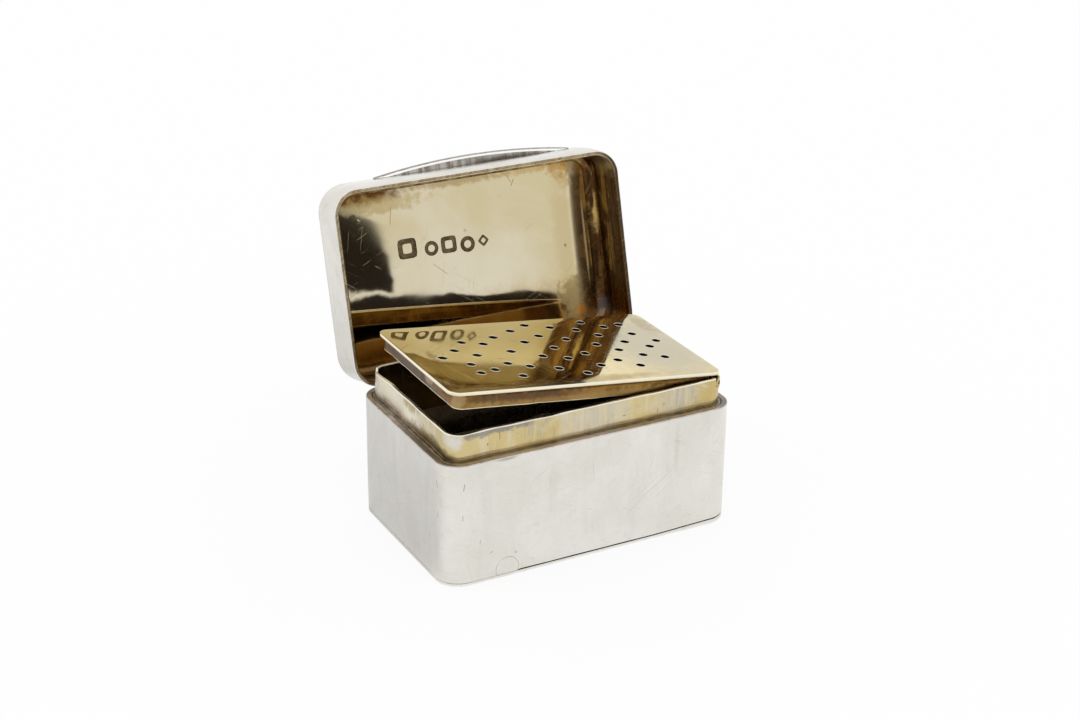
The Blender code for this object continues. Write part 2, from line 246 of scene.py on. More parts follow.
def put(tree, kind, inputs=None, **settings):
    node = tree.nodes.new(kind)
    for key, value in settings.items():
        setattr(node, key, value)
    for key, value in (inputs or {}).items():
        if isinstance(value, bpy.types.NodeSocket):
            tree.links.new(value, node.inputs[key])
        else:
            node.inputs[key].default_value = value
    return node


def calc(tree, operation, first, second=0.0, clamp=False):
    return put(tree, "ShaderNodeMath", {0: first, 1: second}, operation=operation, use_clamp=clamp).outputs[0]


def times(tree, first, second):
    return calc(tree, "MULTIPLY", first, second)


def plus(tree, first, second):
    return calc(tree, "ADD", first, second)


def minus(tree, first, second):
    return calc(tree, "SUBTRACT", first, second)


def smooth(tree, value, low, high, out=(0.0, 1.0)):
    return put(tree, "ShaderNodeMapRange", {
        "Value": value, "From Min": low, "From Max": high, "To Min": out[0], "To Max": out[1]},
        interpolation_type="SMOOTHSTEP").outputs["Result"]


def mixed(tree, factor, first, second):
    first, second = [(*value, 1) if isinstance(value, tuple) else value for value in (first, second)]
    return put(tree, "ShaderNodeMix", {0: factor, 6: first, 7: second}, data_type="RGBA").outputs[2]


def noiseAt(tree, vector, scale, detail=3.0, roughness=0.5, distortion=0.0):
    return put(tree, "ShaderNodeTexNoise", {
        "Vector": vector, "Scale": scale, "Detail": detail, "Roughness": roughness,
        "Distortion": distortion}).outputs["Fac"]


def turned(tree, vector, scale=(1, 1, 1), rotation=(0, 0, 0), location=(0, 0, 0)):
    return put(tree, "ShaderNodeMapping", {
        "Vector": vector, "Scale": scale, "Rotation": rotation, "Location": location}).outputs["Vector"]


def vectorMath(tree, operation, first, second=(0, 0, 0)):
    return put(tree, "ShaderNodeVectorMath", {0: first, 1: second}, operation=operation).outputs


def newGroup(name, inputs):
    # None stands for a vector input; each group puts out one mask
    tree = bpy.data.node_groups.new(name, "ShaderNodeTree")
    for label, value in inputs.items():
        kind = "NodeSocketVector" if value is None else "NodeSocketFloat"
        socket = tree.interface.new_socket(name=label, in_out="INPUT", socket_type=kind)
        if value is not None:
            socket.default_value = value
    tree.interface.new_socket(name="Mask", in_out="OUTPUT", socket_type="NodeSocketFloat")
    given, result = tree.nodes.new("NodeGroupInput"), tree.nodes.new("NodeGroupOutput")
    return tree, given.outputs, result.inputs["Mask"]


def use(tree, group, inputs):
    return put(tree, "ShaderNodeGroup", inputs, node_tree=groups[group]).outputs["Mask"]


def makeScratches():
    # straight hairlines in three directions over a flattened surface, gathered in patches
    tree, given, mask = newGroup("fineScratches", {
        "Flat": None, "Scale": 500.0, "Width": 0.012, "Patchiness": 0.5})
    both = None
    for turn, stretch in ((0.45, 0.018), (1.35, 0.03), (2.55, 0.022)):
        long = turned(tree, turned(tree, given["Flat"], rotation=(0, 0, turn)), scale=(stretch, 1, 1))
        offset = calc(tree, "ABSOLUTE", minus(tree, noiseAt(tree, long, given["Scale"], 1.0, 0.4), 0.5))
        line = smooth(tree, offset, given["Width"], 0.0)
        patch = noiseAt(tree, turned(tree, given["Flat"], location=(turn, turn, 0)),
                        times(tree, given["Scale"], 0.22), 2.0)
        shown = smooth(tree, patch, given["Patchiness"], plus(tree, given["Patchiness"], 0.1))
        line = times(tree, line, shown)
        both = line if both is None else calc(tree, "MAXIMUM", both, line)
    tree.links.new(both, mask)
    return tree


def makeTarnish():
    # clouded patches: more Spread covers more
    tree, given, mask = newGroup("tarnish", {
        "Vector": None, "Scale": 150.0, "Spread": 0.5, "Edge": 0.08, "Detail": 6.0})
    cloud = noiseAt(tree, given["Vector"], given["Scale"], given["Detail"], 0.62, 0.6)
    middle = minus(tree, 1.0, given["Spread"])
    low, high = minus(tree, middle, given["Edge"]), plus(tree, middle, given["Edge"])
    tree.links.new(smooth(tree, cloud, low, high), mask)
    return tree


def makePits():
    # sparse small dents
    tree, given, mask = newGroup("pits", {"Vector": None, "Scale": 900.0, "Size": 0.2, "Share": 0.1})
    cells = put(tree, "ShaderNodeTexVoronoi", {
        "Vector": given["Vector"], "Scale": given["Scale"]}, feature="F1")
    dent = smooth(tree, cells.outputs["Distance"], given["Size"], 0.0)
    parts = put(tree, "ShaderNodeSeparateColor", {"Color": cells.outputs["Color"]})
    chosen = calc(tree, "LESS_THAN", parts.outputs["Red"], given["Share"])
    tree.links.new(times(tree, dent, chosen), mask)
    return tree


def makeStreaks():
    # long marks over a flattened surface, along the direction in which it is squeezed
    tree, given, mask = newGroup("streaks", {
        "Vector": None, "Squeeze": None, "Scale": 600.0, "Low": 0.4, "High": 0.6})
    squeezed = vectorMath(tree, "MULTIPLY", given["Vector"], given["Squeeze"])[0]
    grain = noiseAt(tree, squeezed, given["Scale"], 4.0, 0.6, 0.2)
    tree.links.new(smooth(tree, grain, given["Low"], given["High"]), mask)
    return tree


def makeEdgeWear():
    # worn is 1 along a rubbed edge; Break lets the finish survive there in spots
    tree, given, mask = newGroup("edgeWear", {"Worn": 0.0, "Vector": None, "Scale": 900.0, "Break": 0.4})
    grain = noiseAt(tree, given["Vector"], given["Scale"])
    ragged = times(tree, minus(tree, grain, 0.5), given["Break"])
    tree.links.new(smooth(tree, plus(tree, given["Worn"], ragged), 0.3, 0.8), mask)
    return tree


def makeSpot():
    # a stain or rubbed place round one point, with a ragged edge
    tree, given, mask = newGroup("spot", {
        "Vector": None, "Place": None, "Stretch": None, "Radius": 0.001, "Ragged": 0.5, "Scale": 900.0})
    away = vectorMath(tree, "SUBTRACT", given["Vector"], given["Place"])[0]
    far = vectorMath(tree, "LENGTH", vectorMath(tree, "MULTIPLY", away, given["Stretch"])[0])["Value"]
    grain = noiseAt(tree, given["Vector"], given["Scale"], 4.0, 0.6)
    ragged = times(tree, minus(tree, grain, 0.5), given["Ragged"])
    near = plus(tree, calc(tree, "DIVIDE", far, given["Radius"]), ragged)
    tree.links.new(smooth(tree, near, 1.3, 0.4), mask)
    return tree


def makeStroke():
    # one straight scratch or seam: half its length and half its width from its middle
    tree, given, mask = newGroup("stroke", {"Vector": None, "Half Length": 0.001, "Half Width": 0.0001})
    parts = put(tree, "ShaderNodeSeparateXYZ", {0: given["Vector"]}).outputs
    along = calc(tree, "DIVIDE", calc(tree, "ABSOLUTE", parts["X"]), given["Half Length"])
    across = calc(tree, "DIVIDE", calc(tree, "ABSOLUTE", parts["Y"]), given["Half Width"])
    tree.links.new(times(tree, smooth(tree, along, 1.0, 0.6), smooth(tree, across, 1.0, 0.3)), mask)
    return tree


groups = {"scratches": makeScratches(), "tarnish": makeTarnish(), "pits": makePits(),
          "streaks": makeStreaks(), "edgeWear": makeEdgeWear(), "spot": makeSpot(),
          "stroke": makeStroke()}
print("shader groups made")


# Materials

def lidLocal(tree, vector):
    # the lid's own directions: x along it, y from hinge to front, z from rim to crown
    turn = Matrix.Rotation(lidHinge["open"], 3, "X")
    shift = -(turn @ Vector((0, lidHinge["y"], lidHinge["z"])))
    return turned(tree, vector, rotation=(lidHinge["open"], 0, 0), location=shift)


def grilleLocal(tree, vector):
    turn = Matrix.Rotation(-grilleHinge["ajar"], 3, "Y")
    shift = -(turn @ Vector((grilleHinge["x"], 0, grilleHinge["z"])))
    return turned(tree, vector, rotation=(0, -grilleHinge["ajar"], 0), location=shift)


def flattened(tree, vector, way):
    # upright walls unroll along x plus y, with z as the other direction; plates keep x and y
    parts = put(tree, "ShaderNodeSeparateXYZ", {0: vector}).outputs
    first, second = parts["X"], parts["Y"]
    if way == "wall":
        first, second = plus(tree, first, second), parts["Z"]
    return put(tree, "ShaderNodeCombineXYZ", {0: first, 1: second}).outputs[0]


# Marks on a finish. Places and sizes are in millimetres, and a stroke's are on the flattened surface.
streak = namedtuple("streak", "squeeze scale low high strength colour depth", defaults=(0.0,))
stain = namedtuple("stain", "scale spread edge strength colour dull", defaults=(0.1,))
spot = namedtuple("spot", "place radius colour strength stretch ragged scale dull hatch hatchScale",
                  defaults=(0.8, (1, 1, 1), 0.9, 900, 0.1, None, 2600))
stroke = namedtuple("stroke", "place turn length width colour strength", defaults=(0.8,))

# What a finish has unless it says otherwise
plainMetal = dict(
    surface="wall", patchScale=140, patchSpread=0.5, patchEdge=0.15, dentScale=260, dentDepth=0.012,
    pitScale=900, pitSize=0.22, pitShare=0.05, pitDark=0.6, pitDepth=0.02, scratchScale=900,
    scratchWidth=0.006, scratchPatch=0.5, scratchShow=0.25, scratchDepth=0.004, wearScale=1100,
    wearBreak=0.5, wearShow=0.9, strokeDepth=0.01, bump=0.5, streaks=(), stains=(), spots=(), strokes=())


def strokeMask(tree, flat, mark):
    turn = math.radians(-mark.turn)
    middle = Matrix.Rotation(turn, 3, "Z") @ Vector((mark.place[0] * mm, mark.place[1] * mm, 0))
    placed = turned(tree, flat, rotation=(0, 0, turn), location=-middle)
    return times(tree, use(tree, "stroke", {
        "Vector": placed, "Half Length": mark.length * mm / 2,
        "Half Width": mark.width * mm / 2}), mark.strength)


def spotMask(tree, vector, flat, mark):
    mask = times(tree, use(tree, "spot", {
        "Vector": vector, "Place": [value * mm for value in mark.place], "Stretch": mark.stretch,
        "Radius": mark.radius * mm, "Ragged": mark.ragged, "Scale": mark.scale}), mark.strength)
    if mark.hatch:
        mask = times(tree, mask, use(tree, "streaks", {
            "Vector": flat, "Squeeze": mark.hatch, "Scale": mark.hatchScale, "Low": 0.40, "High": 0.58}))
    return mask


def metal(name, finish, local=None):
    # one rule for every metal here; each finish's dictionary says how strong each effect is
    spec = dict(plainMetal, **finish)
    made = bpy.data.materials.new(name)
    made.use_nodes = True
    tree = made.node_tree
    shader = tree.nodes["Principled BSDF"]
    shader.inputs["Metallic"].default_value = 1.0
    vector = put(tree, "ShaderNodeTexCoord").outputs["Object"]
    if local:
        vector = local(tree, vector)
    flat = flattened(tree, vector, spec["surface"])
    patches = use(tree, "tarnish", {
        "Vector": vector, "Scale": spec["patchScale"], "Spread": spec["patchSpread"],
        "Edge": spec["patchEdge"], "Detail": 5.0})
    colour = mixed(tree, patches, spec["colour"], spec["patchColour"])
    rough = smooth(tree, patches, 0.0, 1.0, spec["roughness"])
    height = times(tree, noiseAt(tree, vector, spec["dentScale"], 2.0, 0.45), spec["dentDepth"] * mm)
    for mark in spec["streaks"]:
        mask = times(tree, use(tree, "streaks", {
            "Vector": flat, "Squeeze": mark.squeeze, "Scale": mark.scale, "Low": mark.low,
            "High": mark.high}), mark.strength)
        colour = mixed(tree, mask, colour, mark.colour)
        height = plus(tree, height, times(tree, mask, mark.depth * mm))
    for mark in spec["stains"]:
        mask = times(tree, use(tree, "tarnish", {
            "Vector": vector, "Scale": mark.scale, "Spread": mark.spread, "Edge": mark.edge,
            "Detail": 8.0}), mark.strength)
        colour = mixed(tree, mask, colour, mark.colour)
        rough = plus(tree, rough, times(tree, mask, mark.dull))
    for mark in spec["spots"]:
        mask = spotMask(tree, vector, flat, mark)
        colour = mixed(tree, mask, colour, mark.colour)
        rough = plus(tree, rough, times(tree, mask, mark.dull))
    pits = use(tree, "pits", {
        "Vector": vector, "Scale": spec["pitScale"], "Size": spec["pitSize"], "Share": spec["pitShare"]})
    colour = mixed(tree, times(tree, pits, spec["pitDark"]), colour, spec["grime"])
    height = minus(tree, height, times(tree, pits, spec["pitDepth"] * mm))
    for mark in spec["strokes"]:
        mask = strokeMask(tree, flat, mark)
        colour = mixed(tree, mask, colour, mark.colour)
        height = minus(tree, height, times(tree, mask, spec["strokeDepth"] * mm))
    scratches = use(tree, "scratches", {
        "Flat": flat, "Scale": spec["scratchScale"], "Width": spec["scratchWidth"],
        "Patchiness": spec["scratchPatch"]})
    colour = mixed(tree, times(tree, scratches, spec["scratchShow"]), colour, spec["scratchColour"])
    height = minus(tree, height, times(tree, scratches, spec["scratchDepth"] * mm))
    wear = use(tree, "edgeWear", {
        "Worn": put(tree, "ShaderNodeAttribute", attribute_name="worn").outputs["Fac"],
        "Vector": vector, "Scale": spec["wearScale"], "Break": spec["wearBreak"]})
    colour = mixed(tree, times(tree, wear, spec["wearShow"]), colour, spec["wornColour"])
    rough = calc(tree, "ADD", rough, times(tree, scratches, 0.08), clamp=True)
    finishMaterial(tree, shader, colour, rough, height, spec["bump"])
    return made


def finishMaterial(tree, shader, colour, rough, height, strength):
    bump = put(tree, "ShaderNodeBump", {"Height": height, "Strength": strength, "Distance": 1.0})
    tree.links.new(colour, shader.inputs["Base Color"])
    tree.links.new(rough, shader.inputs["Roughness"])
    tree.links.new(bump.outputs["Normal"], shader.inputs["Normal"])


silverFinish = dict(
    colour=(0.775, 0.755, 0.7), patchColour=(0.72, 0.7, 0.64), patchScale=150, patchEdge=0.16,
    roughness=(0.14, 0.25), dentScale=240, dentDepth=0.02, grime=(0.16, 0.13, 0.1), pitScale=460,
    pitSize=0.12, pitShare=0.07, pitDark=0.85, scratchColour=(0.5, 0.48, 0.44), scratchShow=0.22,
    scratchScale=1500, scratchPatch=0.46, wornColour=(0.95, 0.94, 0.91), wearShow=0.8,
    streaks=[
        streak((1, 0.14, 1), 420, 0.5, 0.74, 0.2, (0.52, 0.5, 0.45)),
        streak((0.5, 1, 1), 2400, 0.52, 0.72, 0.16, (0.55, 0.53, 0.48), 0.001)],
    stains=[
        stain(520, 0.36, 0.06, 0.2, (0.5, 0.47, 0.42)),
        stain(110, 0.42, 0.14, 0.26, (0.84, 0.83, 0.79)),
        stain(1300, 0.3, 0.04, 0.16, (0.42, 0.39, 0.34))])

boxFinish = dict(
    silverFinish,
    spots=[
        spot((9.2, -10.0, 9.6), 1.4, (0.56, 0.54, 0.5), 0.3, (4.5, 1, 0.5)),
        spot((-9.6, -10.0, 12.7), 0.7, (0.36, 0.32, 0.28), 0.7, (0.6, 1, 3))],
    strokes=[
        stroke((-24.0, 10.6), 84, 0.9, 0.09, (0.25, 0.21, 0.17), 0.8),
        stroke((-24.1, 7.4), 88, 0.7, 0.08, (0.3, 0.26, 0.2), 0.7),
        stroke((-22.4, 4.5), 80, 0.5, 0.1, (0.3, 0.26, 0.2), 0.7),
        stroke((-21.2, 3.1), 20, 0.4, 0.12, (0.3, 0.26, 0.2), 0.7),
        stroke((-10.2, 9.4), 95, 2.6, 0.07, (0.5, 0.47, 0.42), 0.5),
        stroke((-3.6, 8.6), 70, 1.9, 0.06, (0.52, 0.49, 0.44), 0.5)])

ceilingFinish = dict(
    surface="plate", colour=(0.655, 0.585, 0.42), patchColour=(0.6, 0.52, 0.32), patchScale=75,
    patchEdge=0.16, roughness=(0.015, 0.04), dentScale=150, dentDepth=0.001, grime=(0.1, 0.04, 0.015),
    pitScale=430, pitSize=0.13, pitShare=0.06, scratchColour=(0.36, 0.29, 0.17), scratchShow=0.14,
    scratchScale=900, scratchWidth=0.003, scratchPatch=0.56, scratchDepth=0.001,
    wornColour=(0.75, 0.7, 0.55),
    stains=[
        stain(330, 0.3, 0.05, 0.45, (0.5, 0.38, 0.18), 0.05),
        stain(1500, 0.22, 0.03, 0.5, (0.3, 0.18, 0.07))],
    spots=[
        spot((12.4, -18.5, 5.4), 1.1, (0.43, 0.24, 0.06), 0.9, (0.5, 1, 0.3), 2.4, 1300),
        spot((12.3, -17.1, 5.4), 0.9, (0.52, 0.35, 0.15), 0.7, (0.9, 0.8, 0.3), 2.8, 1300),
        spot((8.5, -18.7, 5.2), 0.5, (0.46, 0.3, 0.1), 0.6, (0.1, 1, 0.3), 2.4, 1300),
        spot((-11.0, -18.6, 5.2), 1.0, (0.12, 0.045, 0.012), 1.0, (0.2, 1, 0.3), 1.0, 1300),
        spot((13.7, -18.2, 5.2), 1.0, (0.58, 0.33, 0.07), 0.95, (0.6, 1, 0.3), 2.0, 1300),
        spot((-9.5, -17.6, 5.2), 1.0, (0.42, 0.3, 0.11), 0.6, (0.18, 1, 0.3), 2.6, 1100),
        spot((0.0, -18.7, 5.2), 0.5, (0.36, 0.25, 0.1), 0.7, (0.08, 1, 0.3), 2.0, 1300),
        spot((-2.0, -9.0, 5.3), 4.5, (0.7, 0.65, 0.53), 0.5, (0.45, 1, 0.3), 1.4, 260, 0.0),
        spot((12.0, -9.0, 5.4), 1.8, (0.54, 0.44, 0.24), 0.8, (1, 0.2, 0.3), 1.6, 420, 0.0),
        # these two light strips along the ceiling's right creases are painted highlights, standing in for the
        # creases' reflections
        spot((14.25, -10.2, 5.35), 0.15, (0.92, 0.82, 0.58), 0.95, (1, 0.027, 0.3), 0.5, dull=0.35),
        spot((13.5, -9.0, 5.4), 0.9, (0.74, 0.63, 0.39), 0.9, (1, 0.06, 0.3), 0.8, 420, 0.12),
        spot((-2.0, -1.8, 5.3), 2.6, (0.34, 0.21, 0.09), 0.8, (0.08, 1, 0.3), 0.8, 300, 0.1),
        spot((-2.0, -3.0, 5.3), 3.4, (0.42, 0.28, 0.12), 0.85, (0.1, 1, 0.3), 0.9, 500, 0.0),
        spot((12.3, -4.6, 5.5), 1.7, (0.42, 0.31, 0.13), 0.75, (1, 0.7, 0.3), 2.8, 1500, 0.14),
        spot((12.9, -2.8, 5.5), 0.5, (0.66, 0.3, 0.04), 0.95, (0.8, 1, 0.3), 1.2),
        spot((-14.6, -17.6, 5.0), 1.0, (0.22, 0.1, 0.03), 0.85, (1.6, 0.7, 0.3), 2.0, 1300)],
    strokes=[
        stroke((-8.0, -16.2), 100, 2.2, 0.1, (0.22, 0.14, 0.07), 0.8),
        stroke((-3.2, -9.9), 42, 2.2, 0.08, (0.3, 0.24, 0.15), 0.7),
        stroke((6.3, -17.6), 120, 1.0, 0.09, (0.26, 0.15, 0.06), 0.8),
        stroke((6.0, -17.9), 60, 0.7, 0.08, (0.26, 0.15, 0.06), 0.7),
        stroke((7.6, -12.6), 150, 2.0, 0.05, (0.45, 0.38, 0.25), 0.6)])

innerWallFinish = dict(
    colour=(0.27, 0.155, 0.055), patchColour=(0.17, 0.082, 0.027), patchScale=300, patchSpread=0.5,
    patchEdge=0.16, roughness=(0.17, 0.33), dentScale=340, dentDepth=0.03, grime=(0.04, 0.018, 0.01),
    pitScale=700, pitShare=0.12, scratchColour=(0.55, 0.4, 0.2), scratchShow=0.35,
    wornColour=(0.8, 0.68, 0.42), wearBreak=0.9,
    streaks=[
        streak((0.05, 1, 1), 1500, 0.42, 0.6, 0.8, (0.055, 0.022, 0.008), 0.006),
        streak((0.05, 1, 1), 1300, 0.58, 0.7, 0.75, (0.56, 0.37, 0.13)),
        streak((0.2, 1, 1), 1900, 0.6, 0.68, 0.45, (0.42, 0.3, 0.16))],
    stains=[
        stain(900, 0.38, 0.05, 0.6, (0.09, 0.035, 0.012))],
    spots=[
        spot((15.4, -2.9, 4.9), 0.9, (0.17, 0.155, 0.15), 0.9, (0.5, 1, 0.8), 3.4, 1500, 0.2),
        spot((0, -20.0, 2.0), 3.4, (0.95, 0.84, 0.56), 0.95, (0.14, 1, 1.1), 1.0, dull=0.45),
        spot((15.6, -19.5, 2.6), 2.0, (0.1, 0.06, 0.03), 0.9, ragged=1.0, dull=0.05),
        spot((-13.0, -20.0, 4.6), 1.4, (0.34, 0.2, 0.08), 0.85, (0.3, 1, 1), 2.0, 900),
        spot((-12.5, -0.4, 3.4), 3.2, (0.12, 0.07, 0.028), 0.85, (0.6, 1, 1), 2.2),
        # the ragged bright orange spot by the hinge wall's left corner is a painted glint
        spot((-13.6, -0.4, 1.6), 0.8, (0.95, 0.62, 0.16), 0.95, (0.6, 1, 1.4), 3.0, 1300),
        spot((-15.6, -2.0, 3.2), 3.0, (0.2, 0.11, 0.035), 0.5, (1, 0.5, 0.6), 2.0),
        spot((15.8, -13.1, 4.9), 0.6, (0.8, 0.58, 0.22), 1.0, (0.3, 0.3, 1.6), 2.0, hatch=(0.05, 1, 1),
            hatchScale=3200),
        spot((15.8, -15.4, 2.8), 1.2, (0.62, 0.38, 0.1), 0.9, (0.3, 0.4, 1.3), 2.4, hatch=(0.05, 1, 1),
            hatchScale=2400),
        spot((15.8, -9.0, 3.0), 1.1, (0.6, 0.38, 0.11), 0.9, (0.3, 0.4, 1.3), 2.4, hatch=(0.05, 1, 1),
            hatchScale=2800)])

rimFinish = dict(
    colour=(0.5, 0.42, 0.29), patchColour=(0.36, 0.28, 0.17), patchScale=500, roughness=(0.28, 0.42),
    dentDepth=0.006, grime=(0.12, 0.07, 0.03), pitShare=0.15, scratchColour=(0.8, 0.74, 0.6),
    scratchShow=0.3, wornColour=(0.9, 0.88, 0.82), wearBreak=0.3,
    stains=[
        stain(1300, 0.42, 0.06, 0.7, (0.22, 0.14, 0.07))],
    streaks=[
        streak((1, 0.1, 1), 3000, 0.46, 0.6, 0.6, (0.2, 0.13, 0.07), 0.006)],
    spots=[
        spot((16.2, -9.0, 0.2), 2.4, (0.06, 0.042, 0.03), 0.95, (1, 0.12, 1), 0.8)])

collarFinish = dict(
    colour=(0.63, 0.52, 0.27), patchColour=(0.57, 0.45, 0.2), patchScale=190, roughness=(0.13, 0.24),
    dentScale=300, dentDepth=0.02, grime=(0.1, 0.06, 0.03), pitScale=620, pitSize=0.14, pitShare=0.1,
    pitDark=0.85, scratchColour=(0.82, 0.78, 0.68), scratchShow=0.3, wornColour=(0.9, 0.86, 0.74),
    wearShow=0.9,
    streaks=[
        streak((1, 0.1, 1), 1900, 0.54, 0.66, 0.3, (0.36, 0.29, 0.18), 0.003),
        streak((1, 0.12, 1), 700, 0.5, 0.64, 0.45, (0.7, 0.64, 0.48))],
    stains=[
        stain(520, 0.33, 0.05, 0.4, (0.42, 0.32, 0.15))],
    spots=[
        spot((-10.5, -9.05, 15.5), 0.55, (0.25, 0.23, 0.21), 0.85, (0.12, 1, 1), 2.4, 1500),
        spot((-6.6, -9.05, 14.9), 1.5, (0.42, 0.38, 0.31), 0.5, (0.9, 1, 1.3), 2.4, 1500,
            hatch=(1, 0.06, 1)),
        spot((0.4, -9.05, 14.6), 2.0, (0.4, 0.37, 0.33), 0.55, (0.6, 1, 1.1), 2.4, 1500,
            hatch=(1, 0.06, 1)),
        spot((0.0, -9.05, 14.5), 2.0, (0.66, 0.61, 0.5), 0.5, (0.45, 1, 1.0), 2.6, 700),
        spot((10.0, -9.05, 14.7), 1.5, (0.36, 0.33, 0.3), 0.8, (0.7, 1, 1), 2.4, 1500, hatch=(1, 0.06, 1)),
        spot((9.4, -9.05, 14.6), 1.4, (0.64, 0.59, 0.48), 0.45, (0.5, 1, 1), 2.6, 700),
        spot((13.4, -9.05, 14.5), 1.6, (0.55, 0.42, 0.16), 0.75, (0.8, 1, 0.9), 1.8, 900),
        spot((-14.7, -8.8, 14.9), 0.9, (0.72, 0.7, 0.66), stretch=(0.7, 0.7, 0.9), ragged=1.4),
        spot((-14.9, -8.0, 13.3), 0.6, (0.2, 0.14, 0.07), stretch=(1, 0.7, 1), ragged=2.6, scale=1600),
        spot((-15.05, 8.2, 14.6), 1.6, (0.5, 0.48, 0.46), 0.8, (1, 1, 0.7), 2.4, 1300),
        spot((-15.05, 6.8, 13.2), 0.9, (0.3, 0.27, 0.23), 0.7, (1, 0.5, 1), 2.4, 1300),
        spot((-15.05, 2.0, 14.4), 2.8, (0.84, 0.79, 0.65), 0.85, (1, 0.4, 1.2), 1.6),
        spot((-15.05, -0.2, 15.3), 0.9, (0.44, 0.33, 0.14), 0.8, (1, 0.5, 1.2), 2.0, 1300),
        spot((-15.05, -4.5, 13.5), 1.0, (0.4, 0.31, 0.15), 0.7, (1, 0.3, 1.2), 2.6, 1300)],
    strokes=[
        stroke((-18.9, 14.7), 90, 0.9, 0.09, (0.12, 0.09, 0.05), 0.9),
        stroke((-20.2, 14.1), 85, 0.3, 0.16, (0.12, 0.09, 0.05), 0.8),
        stroke((-5.4, 13.9), 5, 0.5, 0.12, (0.14, 0.1, 0.06), 0.8),
        stroke((-1.6, 13.6), 80, 0.5, 0.12, (0.16, 0.12, 0.07), 0.7)])

# the collar's inside is painted darker than its outside: painted shade inside the box, under the grille
collarInsideFinish = dict(
    collarFinish, colour=(0.40, 0.29, 0.13), patchColour=(0.24, 0.16, 0.07), spots=(), strokes=())

ledgeFinish = dict(
    colour=(0.14, 0.11, 0.08), patchColour=(0.34, 0.29, 0.24), patchScale=620, patchSpread=0.48,
    roughness=(0.3, 0.48), dentScale=420, dentDepth=0.04, grime=(0.02, 0.012, 0.008), pitScale=800,
    pitShare=0.2, scratchColour=(0.5, 0.46, 0.4), scratchShow=0.3, wornColour=(0.92, 0.9, 0.86),
    wearShow=0.95, wearBreak=0.35,
    stains=[
        stain(820, 0.32, 0.05, 0.6, (0.44, 0.38, 0.33))])

topFinish = dict(
    ledgeFinish, colour=(0.45, 0.39, 0.355), patchColour=(0.29, 0.245, 0.21), patchSpread=0.42,
    stains=[
        stain(900, 0.34, 0.05, 0.7, (0.14, 0.11, 0.08)),
        stain(500, 0.36, 0.05, 0.8, (0.74, 0.69, 0.66))],
    spots=[
        spot((-8.6, -9.7, 12.8), 1.3, (0.6, 0.52, 0.47), stretch=(0.45, 1, 1)),
        spot((-2.0, -9.7, 12.8), 1.4, (0.62, 0.52, 0.47), stretch=(0.4, 1, 1)),
        spot((11.8, -9.7, 12.8), 0.8, (0.46, 0.43, 0.44)),
        spot((-15.4, -4.0, 12.8), 1.4, (0.12, 0.09, 0.06), stretch=(1, 0.25, 1)),
        spot((15.5, -9.2, 12.8), 1.5, (0.17, 0.155, 0.12), ragged=1.2)])

grilleFinish = dict(
    surface="plate", colour=(0.79, 0.67, 0.37), patchColour=(0.72, 0.59, 0.28), patchScale=110,
    roughness=(0.03, 0.07), dentScale=170, dentDepth=0.003, grime=(0.12, 0.07, 0.02), pitScale=560,
    pitSize=0.13, pitShare=0.05, scratchColour=(0.4, 0.3, 0.13), scratchShow=0.3, scratchScale=900,
    scratchWidth=0.004, wornColour=(0.9, 0.86, 0.77), wearShow=0.9, wearBreak=0.5,
    stains=[
        stain(300, 0.33, 0.06, 0.35, (0.52, 0.38, 0.14)),
        stain(1400, 0.24, 0.03, 0.5, (0.36, 0.24, 0.09))],
    spots=[
        spot((-27.3, 0.6, 1.0), 0.5, (0.34, 0.2, 0.07), stretch=(1.0, 0.4, 0.5), ragged=3.0, scale=1300),
        spot((-15.0, -7.7, 1.0), 0.8, (0.42, 0.29, 0.1), 0.7, (0.09, 1, 0.5), 1.2),
        spot((-22.0, -3.0, 1.0), 6.0, (0.95, 0.83, 0.5), 0.8, (0.6, 1, 0.5), scale=260, dull=0.0),
        spot((-3.0, 0.0, 1.0), 5.0, (0.53, 0.48, 0.35), 0.85, (0.8, 0.5, 0.5), dull=0.04),
        spot((-0.8, 5.5, 1.0), 1.0, (0.4, 0.31, 0.16), 0.6, (1, 0.3, 0.5), 2.4)],
    strokes=[
        stroke((-26.2, 0.4), 70, 2.4, 0.1, (0.34, 0.22, 0.08), 0.7),
        stroke((-8.6, -6.9), 2, 0.9, 0.1, (0.36, 0.26, 0.12), 0.6)])

frameFinish = dict(
    colour=(0.21, 0.115, 0.026), patchColour=(0.12, 0.062, 0.016), patchScale=420, roughness=(0.22, 0.38),
    dentScale=420, dentDepth=0.04, grime=(0.06, 0.03, 0.015), pitScale=700, pitShare=0.12,
    scratchColour=(0.62, 0.42, 0.16), scratchShow=0.25, wornColour=(0.9, 0.8, 0.58), wearShow=1.0,
    wearBreak=0.5,
    streaks=[
        streak((0.1, 1, 1), 1000, 0.5, 0.62, 0.6, (0.34, 0.18, 0.045)),
        streak((1, 0.25, 1), 900, 0.56, 0.68, 0.4, (0.4, 0.24, 0.07))],
    spots=[
        spot((-14.8, -8.3, -0.6), 0.72, (0.37, 0.235, 0.085), 0.65, (0.02, 0.2, 1), 3.0, 1300),
        spot((-22.0, -8.3, 0.15), 0.5, (0.1, 0.056, 0.036), 0.75, (0.07, 0.2, 1), 2.4, 1300),
        spot((-14.8, -8.3, 0.68), 0.32, (0.055, 0.03, 0.018), 0.9, (0.015, 0.2, 1), 1.2, 1300),
        spot((-29.0, 1.6, 0.1), 2.8, (0.11, 0.08, 0.065), 0.85, (1, 0.4, 1), 2.0, 1300),
        spot((-29.0, -2.6, 0.2), 0.6, (0.46, 0.37, 0.26), 0.7, (1, 0.8, 1), 2.6, 1300),
        spot((-28.9, -8.2, 0.0), 0.8, (0.44, 0.32, 0.16), 0.6, (0.9, 0.9, 0.6), 2.4, 1300)],
    strokes=[
        stroke((-29.0, -0.1), 76, 1.7, 0.12, (0.1, 0.06, 0.04), 0.8)])

